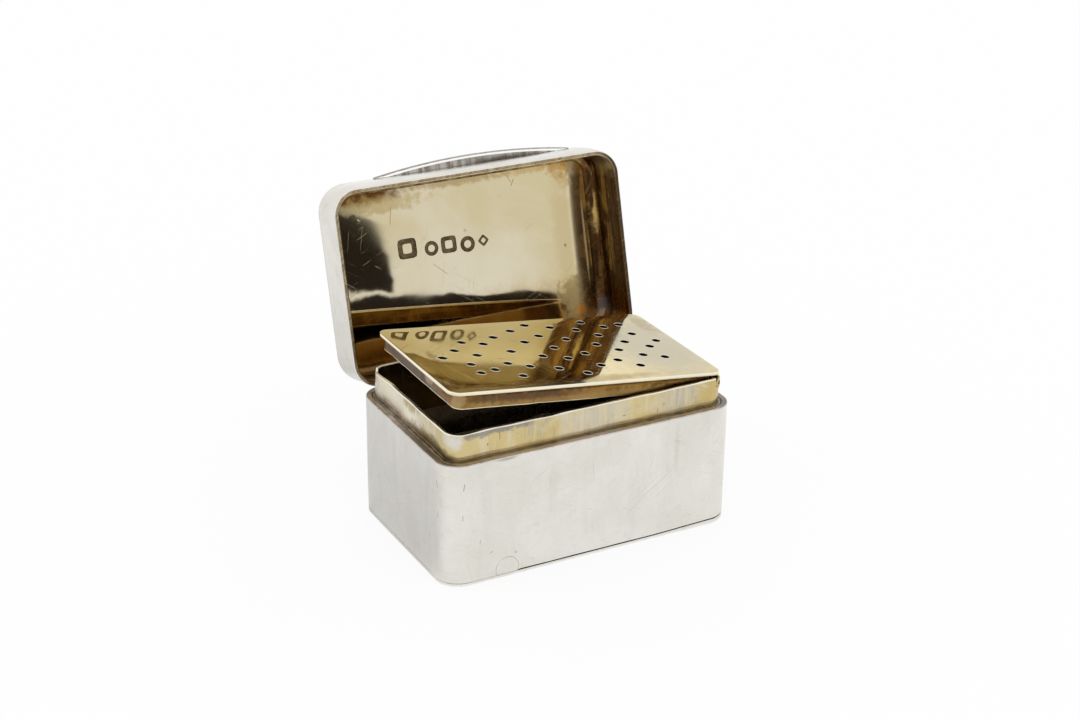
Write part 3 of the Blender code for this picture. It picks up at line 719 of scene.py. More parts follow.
pinFinish = dict(silverFinish, colour=(0.62, 0.60, 0.55), patchColour=(0.45, 0.42, 0.36))
hingeFinish = dict(silverFinish, colour=(0.70, 0.68, 0.63), patchColour=(0.58, 0.56, 0.50))
grilleBarrelFinish = dict(collarFinish, spots=(), strokes=(), colour=(0.46, 0.34, 0.15))
punchFinish = dict(ledgeFinish, colour=(0.085, 0.06, 0.03), patchColour=(0.20, 0.15, 0.08), patchScale=1500,
                   stains=())

silver = metal("silver outside", boxFinish)
baseSilver = metal("silver base", silverFinish)
lidSilver = metal("lid silver outside", silverFinish, lidLocal)
lidTopSilver = metal("lid silver top", dict(silverFinish, surface="plate", scratchShow=0.2), lidLocal)
ceilingGilt = metal("gilt lid ceiling", ceilingFinish, lidLocal)
wallGilt = metal("brown gilt lid walls", innerWallFinish, lidLocal)
rimGilt = metal("rubbed lid rim", rimFinish, lidLocal)
collarGilt = metal("gilt collar", collarFinish)
# the collar's inside finish carries painted shade
collarInsideShade = metal("gilt collar inside painted shade", collarInsideFinish)
ledgeTarnish = metal("tarnished ledge", ledgeFinish)
topSilver = metal("rubbed wall top", topFinish)
grilleGilt = metal("gilt grille", grilleFinish, grilleLocal)
frameCopper = metal("coppery grille frame", frameFinish, grilleLocal)
hingeSilver = metal("worn hinge silver", hingeFinish)
barrelGilt = metal("gilt grille barrel", grilleBarrelFinish)
pinSilver = metal("pin silver", pinFinish)
punchDark = metal("dark punched ground", punchFinish)
# the holes' walls are near-black: painted shade inside the holes
holeWallShade = metal("hole walls painted shade", dict(
    punchFinish, colour=(0.03, 0.02, 0.01), patchColour=(0.07, 0.045, 0.02)), grilleLocal)


def makeSpongeMaterial():
    made = bpy.data.materials.new("dry sponge")
    made.use_nodes = True
    tree = made.node_tree
    shader = tree.nodes["Principled BSDF"]
    shader.inputs["Metallic"].default_value = 0.0
    vector = put(tree, "ShaderNodeTexCoord").outputs["Object"]
    cloud = noiseAt(tree, vector, 500.0, 6.0, 0.65)
    pores = use(tree, "pits", {"Vector": vector, "Scale": 1900.0, "Size": 0.5, "Share": 0.7})
    colour = mixed(tree, cloud, (0.13, 0.085, 0.045), (0.27, 0.195, 0.11))
    colour = mixed(tree, pores, colour, (0.035, 0.02, 0.01))
    height = minus(tree, times(tree, cloud, 0.2 * mm), times(tree, pores, 0.15 * mm))
    finishMaterial(tree, shader, colour, smooth(tree, cloud, 0.2, 0.8, (0.95, 0.8)), height, 0.8)
    return made


drySponge = makeSpongeMaterial()
print("materials made")


# Box

box = {"corner": 2.4 * mm, "wall": 0.6 * mm, "edge": 0.09 * mm, "rows": 16, "baseTop": 0.40 * mm,
       "baseEdge": 0.2 * mm, "seamGap": 0.11 * mm, "seamFrom": -8.4 * mm, "seamRise": 0.16 * mm,
       "liftTop": 1.4 * mm, "beaten": 0.02 * mm, "dent": 2.6 * mm, "baseBeaten": 0.012 * mm,
       "baseDent": 3.5 * mm, "plugRadius": 1.2 * mm, "plugGap": 0.025 * mm, "plugX": -9.5 * mm,
       "plugZ": 0.95 * mm}
boxLow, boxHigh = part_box("body_wall")
boxShape = (boxLow.x, boxHigh.x, boxLow.y, boxHigh.y, box["corner"])


def seam(x, y):
    # the seam over the base shows right of the plug and lifts towards the right corner
    front = ease(-y, 0.0, 6 * mm)
    shown = ease(x, box["seamFrom"] - 0.4 * mm, box["seamFrom"] + 0.2 * mm) * front
    shown = max(shown, ease(x, 15.6 * mm, 15.9 * mm) * ease(-y, -6 * mm, 4 * mm))
    rise = box["seamRise"] * ease(x, 6 * mm, 14.6 * mm) * ease(-y, -8 * mm, 6 * mm)
    return box["baseTop"] + rise, shown * box["seamGap"]


def makeBox():
    top, low, edge, inner = boxHigh.z, box["baseTop"], box["edge"], -box["wall"]
    rings = [level(boxShape, low + 0.02 * mm, -0.02 * mm)]
    rings += wallRings(boxShape, low + 0.05 * mm, top - edge * 1.2, box["rows"])
    rings += rounding(boxShape, top, edge, False, 1, 0.5, 1)
    rings[-1] = retouched(rings[-1], 0.15, 1)
    rings.append(level(boxShape, top, inner * 0.4, 0.0, 1))
    rings += rounding(boxShape, top, edge, True, 1, 0.2, 1, inner)[::-1]
    rings += wallRings(boxShape, top - edge * 1.2, low + 0.05 * mm, 6, inner)
    walls = loft("boxWalls", rings, (silver, topSilver, hingeSilver))
    beaten(walls, box["beaten"], box["dent"], 1)

    def lift(point):
        if point.z > box["liftTop"]:
            return point
        baseTop, gap = seam(point.x, point.y)
        fade = 1 - ease(point.z, 0.45 * mm, box["liftTop"])
        return Vector((point.x, point.y, point.z + (baseTop - low + gap - 0.015 * mm) * fade))

    reshape(walls, lift)
    reach = box["plugRadius"] + box["plugGap"]
    stations = [(-11 * mm, reach), (-8.8 * mm, reach)]
    hole = rod("plug hole", "Y", (box["plugX"], box["plugZ"]), stations, 64, (silver,))
    cut(walls, hole, hingeChannel(lidHinge["y"], lidHinge["z"]))
    settle(walls, "body", ("body_wall",))
    makeBase()
    makePlug()


def makeBase():
    low, edge = box["baseTop"], box["baseEdge"]
    rings = [level(boxShape, 0.03 * mm, -9 * mm, share=0.05), level(boxShape, 0.02 * mm, -4 * mm),
             level(boxShape, 0.0, -edge * 1.6)]
    rings += rounding(boxShape, 0.0, edge, False, -1, 0.6, 0)[::-1]
    rings += [level(boxShape, low - 0.05 * mm), level(boxShape, low - 0.01 * mm, -0.02 * mm),
              level(boxShape, low, -0.05 * mm), level(boxShape, low, -2 * mm),
              level(boxShape, low, -5 * mm, share=0.5), level(boxShape, low, -9 * mm, share=0.05)]
    plate = loft("basePlate", rings, (baseSilver,), closed=False)
    beaten(plate, box["baseBeaten"], box["baseDent"], 2, (1, 1, 0.2))

    def lift(point):
        if point.z < 0.3 * mm:
            return point
        return Vector((point.x, point.y, point.z + seam(point.x, point.y)[0] - low))

    reshape(plate, lift)
    settle(plate, "body", ("base_plate",))


def makePlug():
    # the let-in plug is cut off by the base's seam
    stations = [(boxLow.y + depth * mm, box["plugRadius"] - shrink * mm)
                for depth, shrink in ((0.0, 0.05), (0.0, 0.0), (0.03, -0.001), (0.55, 0.0))]
    plug = rod("wallPlug", "Y", (box["plugX"], box["plugZ"]), stations, 64, (baseSilver,))
    lowest = box["baseTop"] + 0.03 * mm
    reshape(plug, lambda point: Vector((point.x, point.y, max(point.z, lowest))))
    settle(plug, "body", ("wall_plug",))


makeBox()

ledge = {"shape": 0.02 * mm, "edge": 0.05 * mm, "beaten": 0.03 * mm, "dent": 1.3 * mm, "rough": 0.02 * mm,
         "grain": 0.35 * mm, "raised": 0.04 * mm}
stripLow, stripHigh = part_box("ledge_strip")
collarLow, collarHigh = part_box("collar")
collar = {"corner": 1.45 * mm, "wall": 0.35 * mm, "edge": 0.1 * mm, "rows": 12, "beaten": 0.05 * mm,
          "dent": 1.7 * mm, "seatRadius": 0.57 * mm, "sinkFrom": 13.2 * mm, "sinkTo": 15.6 * mm,
          "leftWall": -14.2 * mm, "bentIn": 0.16 * mm}
collarShape = (collarLow.x, collarHigh.x, collarLow.y, collarHigh.y, collar["corner"])


def makeLedgeStrip():
    shape = (stripLow.x, stripHigh.x, stripLow.y, stripHigh.y, box["corner"] - box["wall"] - ledge["shape"])
    thickness = stripHigh.x - collarHigh.x - ledge["shape"]
    top, edge = stripHigh.z + ledge["raised"], ledge["edge"]
    rings = wallRings(shape, stripLow.z, top - edge * 1.5, 3)
    rings += rounding(shape, top, edge, False, 1, 0.35, 0)
    rings += rounding(shape, top, edge, True, 1, 0.0, 0, -thickness)[::-1]
    rings += wallRings(shape, top - edge * 1.5, stripLow.z, 3, -thickness)
    strip = loft("ledgeStrip", rings, (ledgeTarnish,))
    beaten(strip, ledge["beaten"], ledge["dent"], 3)
    beaten(strip, ledge["rough"], ledge["grain"], 10)
    settle(strip, "body", ("ledge_strip",))


def collarTop(x, y):
    # the collar's rim has sunk a little in places
    sink = 0.10 * mm * (1 - noise.noise(Vector((x, y, 0)) / (3 * mm)))
    if x < -14.6 * mm:
        sink += 0.22 * mm * math.exp(-((y + 0.8 * mm) / (1.9 * mm)) ** 2)
        sink += 0.30 * mm * ease(y, 3 * mm, 9 * mm)
    return sink * 0.8


def makeCollar():
    top, edge, rows, inner = collarHigh.z, collar["edge"], collar["rows"], -collar["wall"]
    rings = wallRings(collarShape, collarLow.z, top - edge * 1.3, rows)
    rings += rounding(collarShape, top, edge, False, 1, 1.0, 0)
    rings += rounding(collarShape, top, edge, True, 1, 0.8, 1, inner)[::-1]
    rings += wallRings(collarShape, top - edge * 1.3, collarLow.z, rows, inner, 1)
    made = loft("collarGilt", rings, (collarGilt, collarInsideShade))
    beaten(made, collar["beaten"], collar["dent"], 4)

    def sunk(point):
        # the rim sinks, and the left wall is bent in at its middle
        fade = ease(point.z, collar["sinkFrom"], collar["sinkTo"])
        x, y, z = point
        z -= collarTop(x, y) * fade
        if x < collar["leftWall"]:
            x += collar["bentIn"] * math.exp(-((y + 0.6 * mm) / (1.5 * mm)) ** 2) * fade
        return Vector((x, y, z))

    reshape(made, sunk)
    # the seat of the grille's barrel is open to the right and upwards
    axisX, axisZ, radius = grilleHinge["x"], grilleHinge["z"], collar["seatRadius"]
    profile = [(collarHigh.x + mm, axisZ), (collarHigh.x + mm, collarHigh.z + mm),
               (axisX - radius, collarHigh.z + mm)]
    for step in range(17):
        angle = math.pi + math.pi * step / 16
        profile.append((axisX + radius * math.cos(angle), axisZ + radius * math.sin(angle)))
    loops = [[(x, y, z) for x, z in profile] for y in (collarLow.y - mm, collarHigh.y + mm)]
    cut(made, section("barrel seat", loops, (collarInsideShade,)))
    settle(made, "body", ("collar",))


makeLedgeStrip()
makeCollar()
print("box, ledge and collar made")


# Lid, shaped shut about its hinge and then turned open

lid = {"corner": 2.6 * mm, "wall": 0.45 * mm, "rim": 0.17 * mm, "bandTop": 3.39 * mm, "shoulder": 4.27 * mm,
       "bow": 0.35 * mm, "bowHeight": 2.2 * mm, "edgeRadius": 1.5 * mm, "crown": 0.4 * mm,
       "innerCrown": -0.2 * mm, "rimEdge": 0.1 * mm, "front": -20.0 * mm, "left": -16.0 * mm,
       "right": 16.3 * mm, "beaten": 0.02 * mm, "dent": 2.4 * mm, "flatness": 0.0013 * mm,
       "topDent": 3.4 * mm, "crownRows": 24}


def lidShape(z):
    bow = lid["bow"] * math.sin(math.pi / 2 * min(max(z - lid["rim"], 0) / lid["bowHeight"], 1))
    return (lid["left"], lid["right"], lid["front"] - bow, 0.0, lid["corner"] + bow)


def crownHeight(x, y, amount, inset):
    shape = lidShape(lid["shoulder"])
    halfX, halfY = (shape[1] - shape[0]) / 2 - inset, (shape[3] - shape[2]) / 2 - inset
    u = min(abs(x - (shape[0] + shape[1]) / 2) / halfX, 1)
    v = min(abs(y - (shape[2] + shape[3]) / 2) / halfY, 1)
    return amount * (1 - u * u) * (1 - v * v)


def domeRings(inset, crown, finish, ceiling, crease, turn):
    # from the band's top over the rounded edge to the middle of the crown
    rings = [level(lidShape(lid["bandTop"]), lid["bandTop"], -inset, crease * 0.8, finish)]
    rings += [level(lidShape(z * mm), z * mm, -inset, 0.0, finish) for z in (3.6, 3.9, 4.1)]
    radius = lid["edgeRadius"] - inset
    shape = lidShape(lid["shoulder"])
    for step in range(11):
        angle = math.pi / 2 * step / 10
        rings.append(level(shape, lid["shoulder"] + radius * math.sin(angle),
                           -inset - radius * (1 - math.cos(angle)), crease if step == 10 else 0.0,
                           ceiling if step >= turn else finish))
    flat = lid["shoulder"] + radius
    for step in range(1, lid["crownRows"]):
        points = outline(shape, -inset - radius, 1 - step / lid["crownRows"])
        domed = [(x, y, flat + crownHeight(x, y, crown, inset + radius)) for x, y in points]
        rings.append((domed, 0.0, ceiling))
    return rings


def makeLidTop():
    rings = domeRings(lid["wall"], lid["innerCrown"], 1, 2, 0.15, 10)[::-1]
    rings += domeRings(0.0, lid["crown"], 0, 4, 0.0, 5)
    # a strip takes the finish of the ring before it, so the inside's run is shifted by one
    inside = len(rings) // 2
    for index in range(inside):
        rings[index] = retouched(rings[index], rings[index][1], rings[min(index + 1, inside - 1)][2])
    top = loft("lidTop", rings, (lidSilver, wallGilt, ceilingGilt, punchDark, lidTopSilver), closed=False)
    beaten(top, lid["flatness"], lid["topDent"], 5)
    cut(top, lidPunches())
    settle(top, "lid", ("lid_top",), lidPlace)


punches = {"depth": 0.07 * mm, "reach": 0.4 * mm, "sides": 24, "places": (
    (-6.6, -12.6, 1.05, "square"), (-3.9, -12.2, 0.78, "round"), (-1.9, -12.3, 0.88, "square"),
    (0.25, -12.0, 0.84, "round"), (2.1, -12.1, 0.62, "lozenge"))}


def punchLoop(x, y, size, form, z):
    # plain blank shapes, each a groove round a bare middle: lozenge, round, or blunt square
    power = {"lozenge": 1.15, "round": 2.0, "square": 6.0}[form]
    points = []
    for side in range(punches["sides"]):
        angle = 2 * math.pi * side / punches["sides"]
        c, s = math.cos(angle), math.sin(angle)
        reach = (abs(c) ** power + abs(s) ** power) ** (-1 / power)
        points.append((x * mm + size * mm * c * reach, y * mm + size * mm * s * reach, z))
    return points


def lidPunches():
    # a groove cutter for each blank, from under the ceiling up into it
    flat = lid["shoulder"] + lid["edgeRadius"] - lid["wall"]
    build = bmesh.new()
    for x, y, size, form in punches["places"]:
        ceiling = flat + crownHeight(x * mm, y * mm, lid["innerCrown"], lid["edgeRadius"])
        low, high = ceiling - punches["reach"], ceiling + punches["depth"]
        rows = [[build.verts.new(point) for point in punchLoop(x, y, size * grow, form, z)]
                for z, grow in ((low, 1.12), (high, 0.98), (high, 0.5), (low, 0.4))]
        for turn in range(4):
            bridge(build, rows[turn], rows[(turn + 1) % 4])
    return built("lid punches", build, (punchDark,))


def makeLidBand():
    rim, top, wall, edge = lid["rim"], lid["bandTop"], lid["wall"], lid["rimEdge"]
    heights = [rim + edge * 1.3 + (top - rim - edge * 1.3) * row / 12 for row in range(13)]
    rings = rounding(lidShape(0), rim, edge, True, -1, 0.0, 1, -wall)
    rings[-1] = retouched(rings[-1], 0.1, 2)
    outside = rounding(lidShape(0), rim, edge, False, -1, 0.75, 2)[::-1]
    outside[0] = retouched(outside[0], 0.1, 2)
    outside[-1] = retouched(outside[-1], 0.5, 0)
    outside += [level(lidShape(z), z) for z in heights]
    inside = [level(lidShape(z), z, -wall, 0.0, 1) for z in heights][::-1]
    band = loft("lidBand", outside + inside + rings, (lidSilver, wallGilt, rimGilt))
    beaten(band, lid["beaten"], lid["dent"], 6)
    cut(band, hingeChannel(0, 0))
    settle(band, "lid", ("lid_band",), lidPlace)


thumb = {"length": 22.4 * mm, "proud": 1.0 * mm, "end": 0.12 * mm, "thickness": 0.6 * mm, "shift": 1.4 * mm,
         "steps": 72, "edge": 0.3 * mm, "apart": 0.02 * mm}


def makeThumbpiece():
    # a crescent whose arc is a little proud of the lid at its ends
    sagitta = thumb["proud"] - thumb["end"]
    half = thumb["length"] / 2
    arcRadius = (half * half + sagitta * sagitta) / (2 * sagitta)
    halfAngle = math.asin(half / arcRadius)
    front = lidShape(lid["shoulder"])[2] - thumb["apart"]
    top, edge, thick = lid["shoulder"], thumb["edge"], thumb["thickness"]

    def crescent(shrink, z):
        points = []
        for step in range(thumb["steps"] + 1):
            angle = halfAngle * (2 * step / thumb["steps"] - 1)
            proud = thumb["end"] + sagitta - arcRadius * (1 - math.cos(angle)) - shrink
            points.append((thumb["shift"] + (arcRadius * math.sin(angle)), front - proud, z))
        return points + [(x, front, z) for x, y, z in points[::-1]]

    rings = [(crescent(shrink * mm, top - thick), 0.0, 0) for shrink in (0.62, 0.42)]
    for side, start in ((-1, top - thick + edge), (1, top - edge)):
        for step in range(5):
            angle = math.pi / 2 * (step / 4 if side > 0 else 1 - step / 4)
            outer = side > 0 or step > 1
            finish = 2 if side > 0 and step > 0 else 1 if outer else 0
            rings.append((crescent(edge * (1 - math.cos(angle)), start + side * edge * math.sin(angle)),
                          0.0 if outer else 0.9, finish))
    rings.append((crescent(0.42 * mm, top), 0.0, 2))
    piece = loft("thumbCrescent", rings, (thumbSilver, thumbGrey, lidSilver), closed=False)
    settle(piece, "lid", ("thumbpiece",), lidPlace)


thumbFinish = dict(
    silverFinish, surface="plate", colour=(0.52, 0.5, 0.46), patchColour=(0.4, 0.37, 0.32),
    wornColour=(0.97, 0.96, 0.94), wearShow=1.0, wearBreak=0.15, grime=(0.05, 0.035, 0.02),
    streaks=[
        streak((1, 0.12, 1), 2200, 0.44, 0.58, 0.7, (0.12, 0.1, 0.085), 0.012)],
    # the hatching is the thumbpiece's own; the dark spot where its underside meets the lid wall is painted
    # shade in that corner
    spots=[
        spot((4.6, -20.35, 3.7), 0.45, (0.07, 0.055, 0.045), 0.85, (0.1, 1, 1), 1.2)])
thumbSilver = metal("hatched thumbpiece silver", thumbFinish, lidLocal)
thumbGrey = metal("tarnished thumbpiece edge", dict(
    silverFinish, colour=(0.30, 0.28, 0.25), patchColour=(0.42, 0.40, 0.37), roughness=(0.25, 0.4)), lidLocal)

makeLidTop()
makeLidBand()
makeThumbpiece()
print("lid made")


# Grille

grille = {"corner": 1.1 * mm, "low": 0.71 * mm, "high": 1.01 * mm, "left": -29.69 * mm, "right": 0.41 * mm,
          "front": -8.55 * mm, "back": 8.35 * mm, "edge": 0.1 * mm, "holeRadius": 0.475 * mm,
          "rim": 0.038 * mm, "proud": 0.02 * mm, "wallFace": 0.02 * mm * mm, "holeSides": 32,
          "underEdge": 0.03 * mm, "beaten": 0.004 * mm, "dent": 4.0 * mm, "ripple": 0.0015 * mm,
          "rippleSize": 1.3 * mm, "droop": 0.05 * mm, "droopWidth": 0.7 * mm}
grilleShape = (grille["left"], grille["right"], grille["front"], grille["back"], grille["corner"])

# The pierced pattern as in the solids: each column's place along the plate and its holes across
# it, as shares of half the plate's length and half its depth
holeShares = (
    (-0.785, (0.01,)),
    (-0.650, (0.20, -0.23, -0.49)),
    (-0.535, (0.43, 0.02, -0.43)),
    (-0.400, (0.34, -0.28, -0.66)),
    (-0.275, (0.52, 0.06, -0.41)),
    (-0.100, (0.68, 0.31, -0.14, -0.53)),
    (0.053, (0.83, 0.47, 0.08, -0.26, -0.72)),
    (0.215, (0.71, 0.31, -0.15, -0.53)),
    (0.378, (0.58, 0.09, -0.42)),
    (0.485, (0.81, 0.37, -0.12, -0.62)),
    (0.607, (0.62, 0.11, -0.32)),
    (0.740, (0.66, 0.34, -0.08, -0.43)),
    (0.845, (0.08,)),
)


def newGeometryTree(name, inputs):
    tree = bpy.data.node_groups.new(name, "GeometryNodeTree")
    socket = tree.interface.new_socket
    socket(name="Geometry", in_out="INPUT", socket_type="NodeSocketGeometry")
    sockets = {label: socket(name=label, in_out="INPUT", socket_type="NodeSocket" + kind).identifier
               for label, kind in inputs.items()}
    socket(name="Geometry", in_out="OUTPUT", socket_type="NodeSocketGeometry")
    return tree, tree.nodes.new("NodeGroupInput").outputs, tree.nodes.new("NodeGroupOutput"), sockets


def finishTree(tree, result, geometry, finish):
    real = put(tree, "GeometryNodeRealizeInstances", {0: geometry}).outputs[0]
    painted = put(tree, "GeometryNodeSetMaterial", {"Geometry": real, "Material": finish})
    tree.links.new(painted.outputs[0], result.inputs[0])


def runTree(piece, tree, sockets, values):
    # the tree's inputs are set by their identifiers before its first evaluation
    change = piece.modifiers.new(tree.name, "NODES")
    change.node_group = tree
    for label, value in values.items():
        change[sockets[label]] = value
    applied(piece)


def makePiercingTree():
    # cuts one round hole through the plate at every given point and rolls a small rim round it
    tree, given, result, sockets = newGeometryTree("piercing", {
        "Hole Radius": "Float", "Thickness": "Float", "Rim": "Float", "Proud": "Float", "Sides": "Int",
        "Hole Places": "Object"})
    radius, rim, sides, thickness = (given[key] for key in ("Hole Radius", "Rim", "Sides", "Thickness"))
    drill = put(tree, "GeometryNodeMeshCylinder", {
        "Vertices": sides, "Radius": radius, "Depth": times(tree, thickness, 3.0)}, fill_type="NGON")
    places = put(tree, "GeometryNodeObjectInfo", {"Object": given["Hole Places"]})
    points = put(tree, "GeometryNodeMeshToPoints", {"Mesh": places.outputs["Geometry"]}).outputs[0]
    copies = put(tree, "GeometryNodeInstanceOnPoints", {
        "Points": points, "Instance": drill.outputs["Mesh"]}).outputs[0]
    cutters = put(tree, "GeometryNodeRealizeInstances", {0: copies}).outputs[0]
    pierced = put(tree, "GeometryNodeMeshBoolean", {
        "Mesh 1": given["Geometry"], "Mesh 2": cutters}, operation="DIFFERENCE", solver="EXACT")
    path = put(tree, "GeometryNodeCurvePrimitiveCircle", {"Resolution": sides, "Radius": radius})
    wire = put(tree, "GeometryNodeCurvePrimitiveCircle", {"Resolution": 12, "Radius": rim})
    rolled = put(tree, "GeometryNodeCurveToMesh", {
        "Curve": path.outputs["Curve"], "Profile Curve": wire.outputs["Curve"]}).outputs["Mesh"]
    worn = put(tree, "GeometryNodeStoreNamedAttribute", {
        "Geometry": rolled, "Name": "worn", "Value": 0.7}, data_type="FLOAT", domain="POINT").outputs[0]
    rims = put(tree, "GeometryNodeInstanceOnPoints", {"Points": points, "Instance": worn}).outputs[0]
    height = plus(tree, times(tree, thickness, 0.5), minus(tree, given["Proud"], rim))
    shift = put(tree, "ShaderNodeCombineXYZ", {2: height}).outputs[0]
    rims = put(tree, "GeometryNodeTranslateInstances", {"Instances": rims, "Translation": shift}).outputs[0]
    joined = put(tree, "GeometryNodeJoinGeometry")
    tree.links.new(rims, joined.inputs[0])
    tree.links.new(pierced.outputs["Mesh"], joined.inputs[0])
    finishTree(tree, result, joined.outputs[0], grilleGilt)
    return tree, sockets


def makeGrillePlate():
    low, high, edge = grille["low"], grille["high"], grille["edge"]
    left, right, front, back = (grille[key] for key in ("left", "right", "front", "back"))
    rings = [level(grilleShape, low, share=step / 18) for step in range(1, 18)]
    rings += rounding(grilleShape, low, grille["underEdge"], False, -1, 0.0, 0)[::-1]
    rings += rounding(grilleShape, high, edge, False, 1, 1.0, 0)
    rings.append(level(grilleShape, high, -edge * 1.5, 0.15))
    rings += [level(grilleShape, high, -edge * 2, 0.0, share=1 - step / 20) for step in range(1, 20)]
    plate = loft("grillePlate", rings, (grilleGilt,), closed=False)
    middleX, middleY = (left + right) / 2, (front + back) / 2
    halfX, halfY = (right - left) / 2, (back - front) / 2
    spots = [(middleX + halfX * column, middleY + halfY * row, (low + high) / 2)
             for column, rows in holeShares for row in rows]
    mesh = bpy.data.meshes.new("hole places")
    mesh.from_pydata(spots, [], [])
    places = linkMesh("hole places", mesh, ())
    tree, sockets = makePiercingTree()
    runTree(plate, tree, sockets, {
        "Hole Radius": grille["holeRadius"], "Thickness": high - low, "Rim": grille["rim"],
        "Proud": grille["proud"], "Sides": grille["holeSides"], "Hole Places": places})
    bpy.data.objects.remove(places, do_unlink=True)
    build = bmesh.new()
    build.from_mesh(plate.data)
    bmesh.ops.recalc_face_normals(build, faces=build.faces)
    build.to_mesh(plate.data)
    build.free()
    plate.data.materials.clear()
    for finish in (grilleGilt, holeWallShade):
        plate.data.materials.append(finish)
    for face in plate.data.polygons:      # the holes' own walls take the near-black finish, painted shade inside the holes
        clear = min(halfX - abs(face.center.x - middleX), halfY - abs(face.center.y - middleY))
        wall = abs(face.normal.z) < 0.1 and clear > 0.5 * mm and face.area > grille["wallFace"]
        face.material_index = 1 if wall else 0
    beaten(plate, grille["beaten"], grille["dent"], 7)
    beaten(plate, grille["ripple"], grille["rippleSize"], 9)

    def droop(point):
        inside = min(point.x - left, right - point.x, point.y - front, back - point.y)
        lower = grille["droop"] * math.exp(-(max(inside, 0) / grille["droopWidth"]) ** 2)
        return Vector((point.x, point.y, point.z - lower))

    reshape(plate, droop)
    settle(plate, "grille", ("grille_plate",), grillePlace)
    print("grille pierced:", len(plate.data.polygons), "faces")


grilleFrame = {"left": -29.02 * mm, "right": -0.61 * mm, "front": -8.35 * mm, "back": 8.15 * mm,
               "corner": 0.9 * mm, "wall": 0.35 * mm, "low": -0.83 * mm, "high": 0.69 * mm, "lip": 0.12 * mm,
               "beaten": 0.06 * mm, "dent": 1.5 * mm}


def makeGrilleFrame():
    shape = tuple(grilleFrame[key] for key in ("left", "right", "front", "back", "corner"))
    low, high, lip, wall = (grilleFrame[key] for key in ("low", "high", "lip", "wall"))
    rings = rounding(shape, low, lip, False, -1, 1.0, 0)[::-1]
    rings += wallRings(shape, low + lip * 1.2, high, 8)
    rings += wallRings(shape, high, low + lip * 1.2, 6, -wall)
    rings += rounding(shape, low, lip, True, -1, 0.8, 0, -wall)
    made = loft("grilleFrame", rings, (frameCopper,))
    beaten(made, grilleFrame["beaten"], grilleFrame["dent"], 8, (1, 1, 0.5))
    settle(made, "grille", ("grille_frame",), grillePlace)


# Hinges: one tree makes the knuckles that belong to one leaf

def makeKnuckleTree():
    tree, given, result, sockets = newGeometryTree("knuckles", {
        "Radius": "Float", "Bore": "Float", "Length": "Float", "Pitch": "Float", "Start": "Float",
        "Count": "Int", "Rounding": "Float", "Finish": "Material"})
    middle = times(tree, plus(tree, given["Radius"], given["Bore"]), 0.5)
    thick = minus(tree, given["Radius"], given["Bore"])
    circle = put(tree, "GeometryNodeCurvePrimitiveCircle", {"Resolution": 40, "Radius": middle})
    face = put(tree, "GeometryNodeCurvePrimitiveQuadrilateral", {"Width": thick, "Height": given["Length"]})
    worn = put(tree, "GeometryNodeFilletCurve", {
        "Curve": face.outputs[0], "Radius": given["Rounding"], "Count": 3, "Limit Radius": True}, mode="POLY")
    sleeve = put(tree, "GeometryNodeCurveToMesh", {
        "Curve": circle.outputs[0], "Profile Curve": worn.outputs[0]})
    step = put(tree, "ShaderNodeCombineXYZ", {2: given["Pitch"]})
    first = put(tree, "ShaderNodeCombineXYZ", {2: given["Start"]})
    line = put(tree, "GeometryNodeMeshLine", {
        "Count": given["Count"], "Start Location": first.outputs[0],
        "Offset": step.outputs[0]}, mode="OFFSET")
    copies = put(tree, "GeometryNodeInstanceOnPoints", {
        "Points": line.outputs[0], "Instance": sleeve.outputs[0]}).outputs[0]
    finishTree(tree, result, copies, given["Finish"])
    return tree, sockets


knuckleTree, knuckleSockets = makeKnuckleTree()
lidKnuckles = {"radius": 0.5 * mm, "bore": 0.26 * mm, "start": -12.0 * mm, "end": 12.0 * mm, "count": 5,
               "gap": 0.06 * mm, "rounding": 0.05 * mm, "pin": 0.22 * mm, "pinEnd": 12.0 * mm}
grilleKnuckles = {"radius": 0.53 * mm, "bore": 0.24 * mm, "start": -8.9 * mm, "end": 8.9 * mm, "count": 5,
                  "gap": 0.06 * mm, "rounding": 0.05 * mm, "pin": 0.2 * mm, "pinEnd": 8.85 * mm,
                  "filed": 0.11 * mm}
hingeWear = {"knuckle": 0.015 * mm, "knuckleDent": 1.2 * mm, "bearer": 0.02 * mm, "bearerDent": 2.0 * mm}
bearer = {"edge": 0.12 * mm, "steps": 40}
leaf = {"left": -0.5 * mm, "right": -0.12 * mm, "low": 0.30 * mm, "high": 0.66 * mm, "bevel": 0.05 * mm}


def filing(proud):
    # what lies past the collar's outline, in the grille hinge's own frame
    left, right, front, back, corner = collarShape
    shape = (left - grilleHinge["x"], right - grilleHinge["x"], front, back, corner)
    reach = 3 * mm
    return loft("filing", [level(shape, z, grow) for z, grow in (
        (-reach, proud), (reach, proud), (reach, reach), (-reach, reach))], (barrelGilt,))


def makeKnuckles(name, spec, first, finish, axisTurn, body, nodes, place):
    # first is 0 for the fixed leaf's knuckles and 1 for the moving leaf's
    pitch = (spec["end"] - spec["start"]) / spec["count"]
    piece = linkMesh(name, bpy.data.meshes.new(name), ())
    runTree(piece, knuckleTree, knuckleSockets, {
        "Radius": spec["radius"], "Bore": spec["bore"], "Length": pitch - spec["gap"], "Pitch": pitch * 2,
        "Start": spec["start"] + pitch * (first + 0.5), "Count": 3 - first, "Rounding": spec["rounding"],
        "Finish": finish})
    piece.data.transform(axisTurn)
    beaten(piece, hingeWear["knuckle"], hingeWear["knuckleDent"], 9 + first)
    if "filed" in spec and first == 0:
        cut(piece, filing(spec["filed"]))
    settle(piece, body, nodes, place)


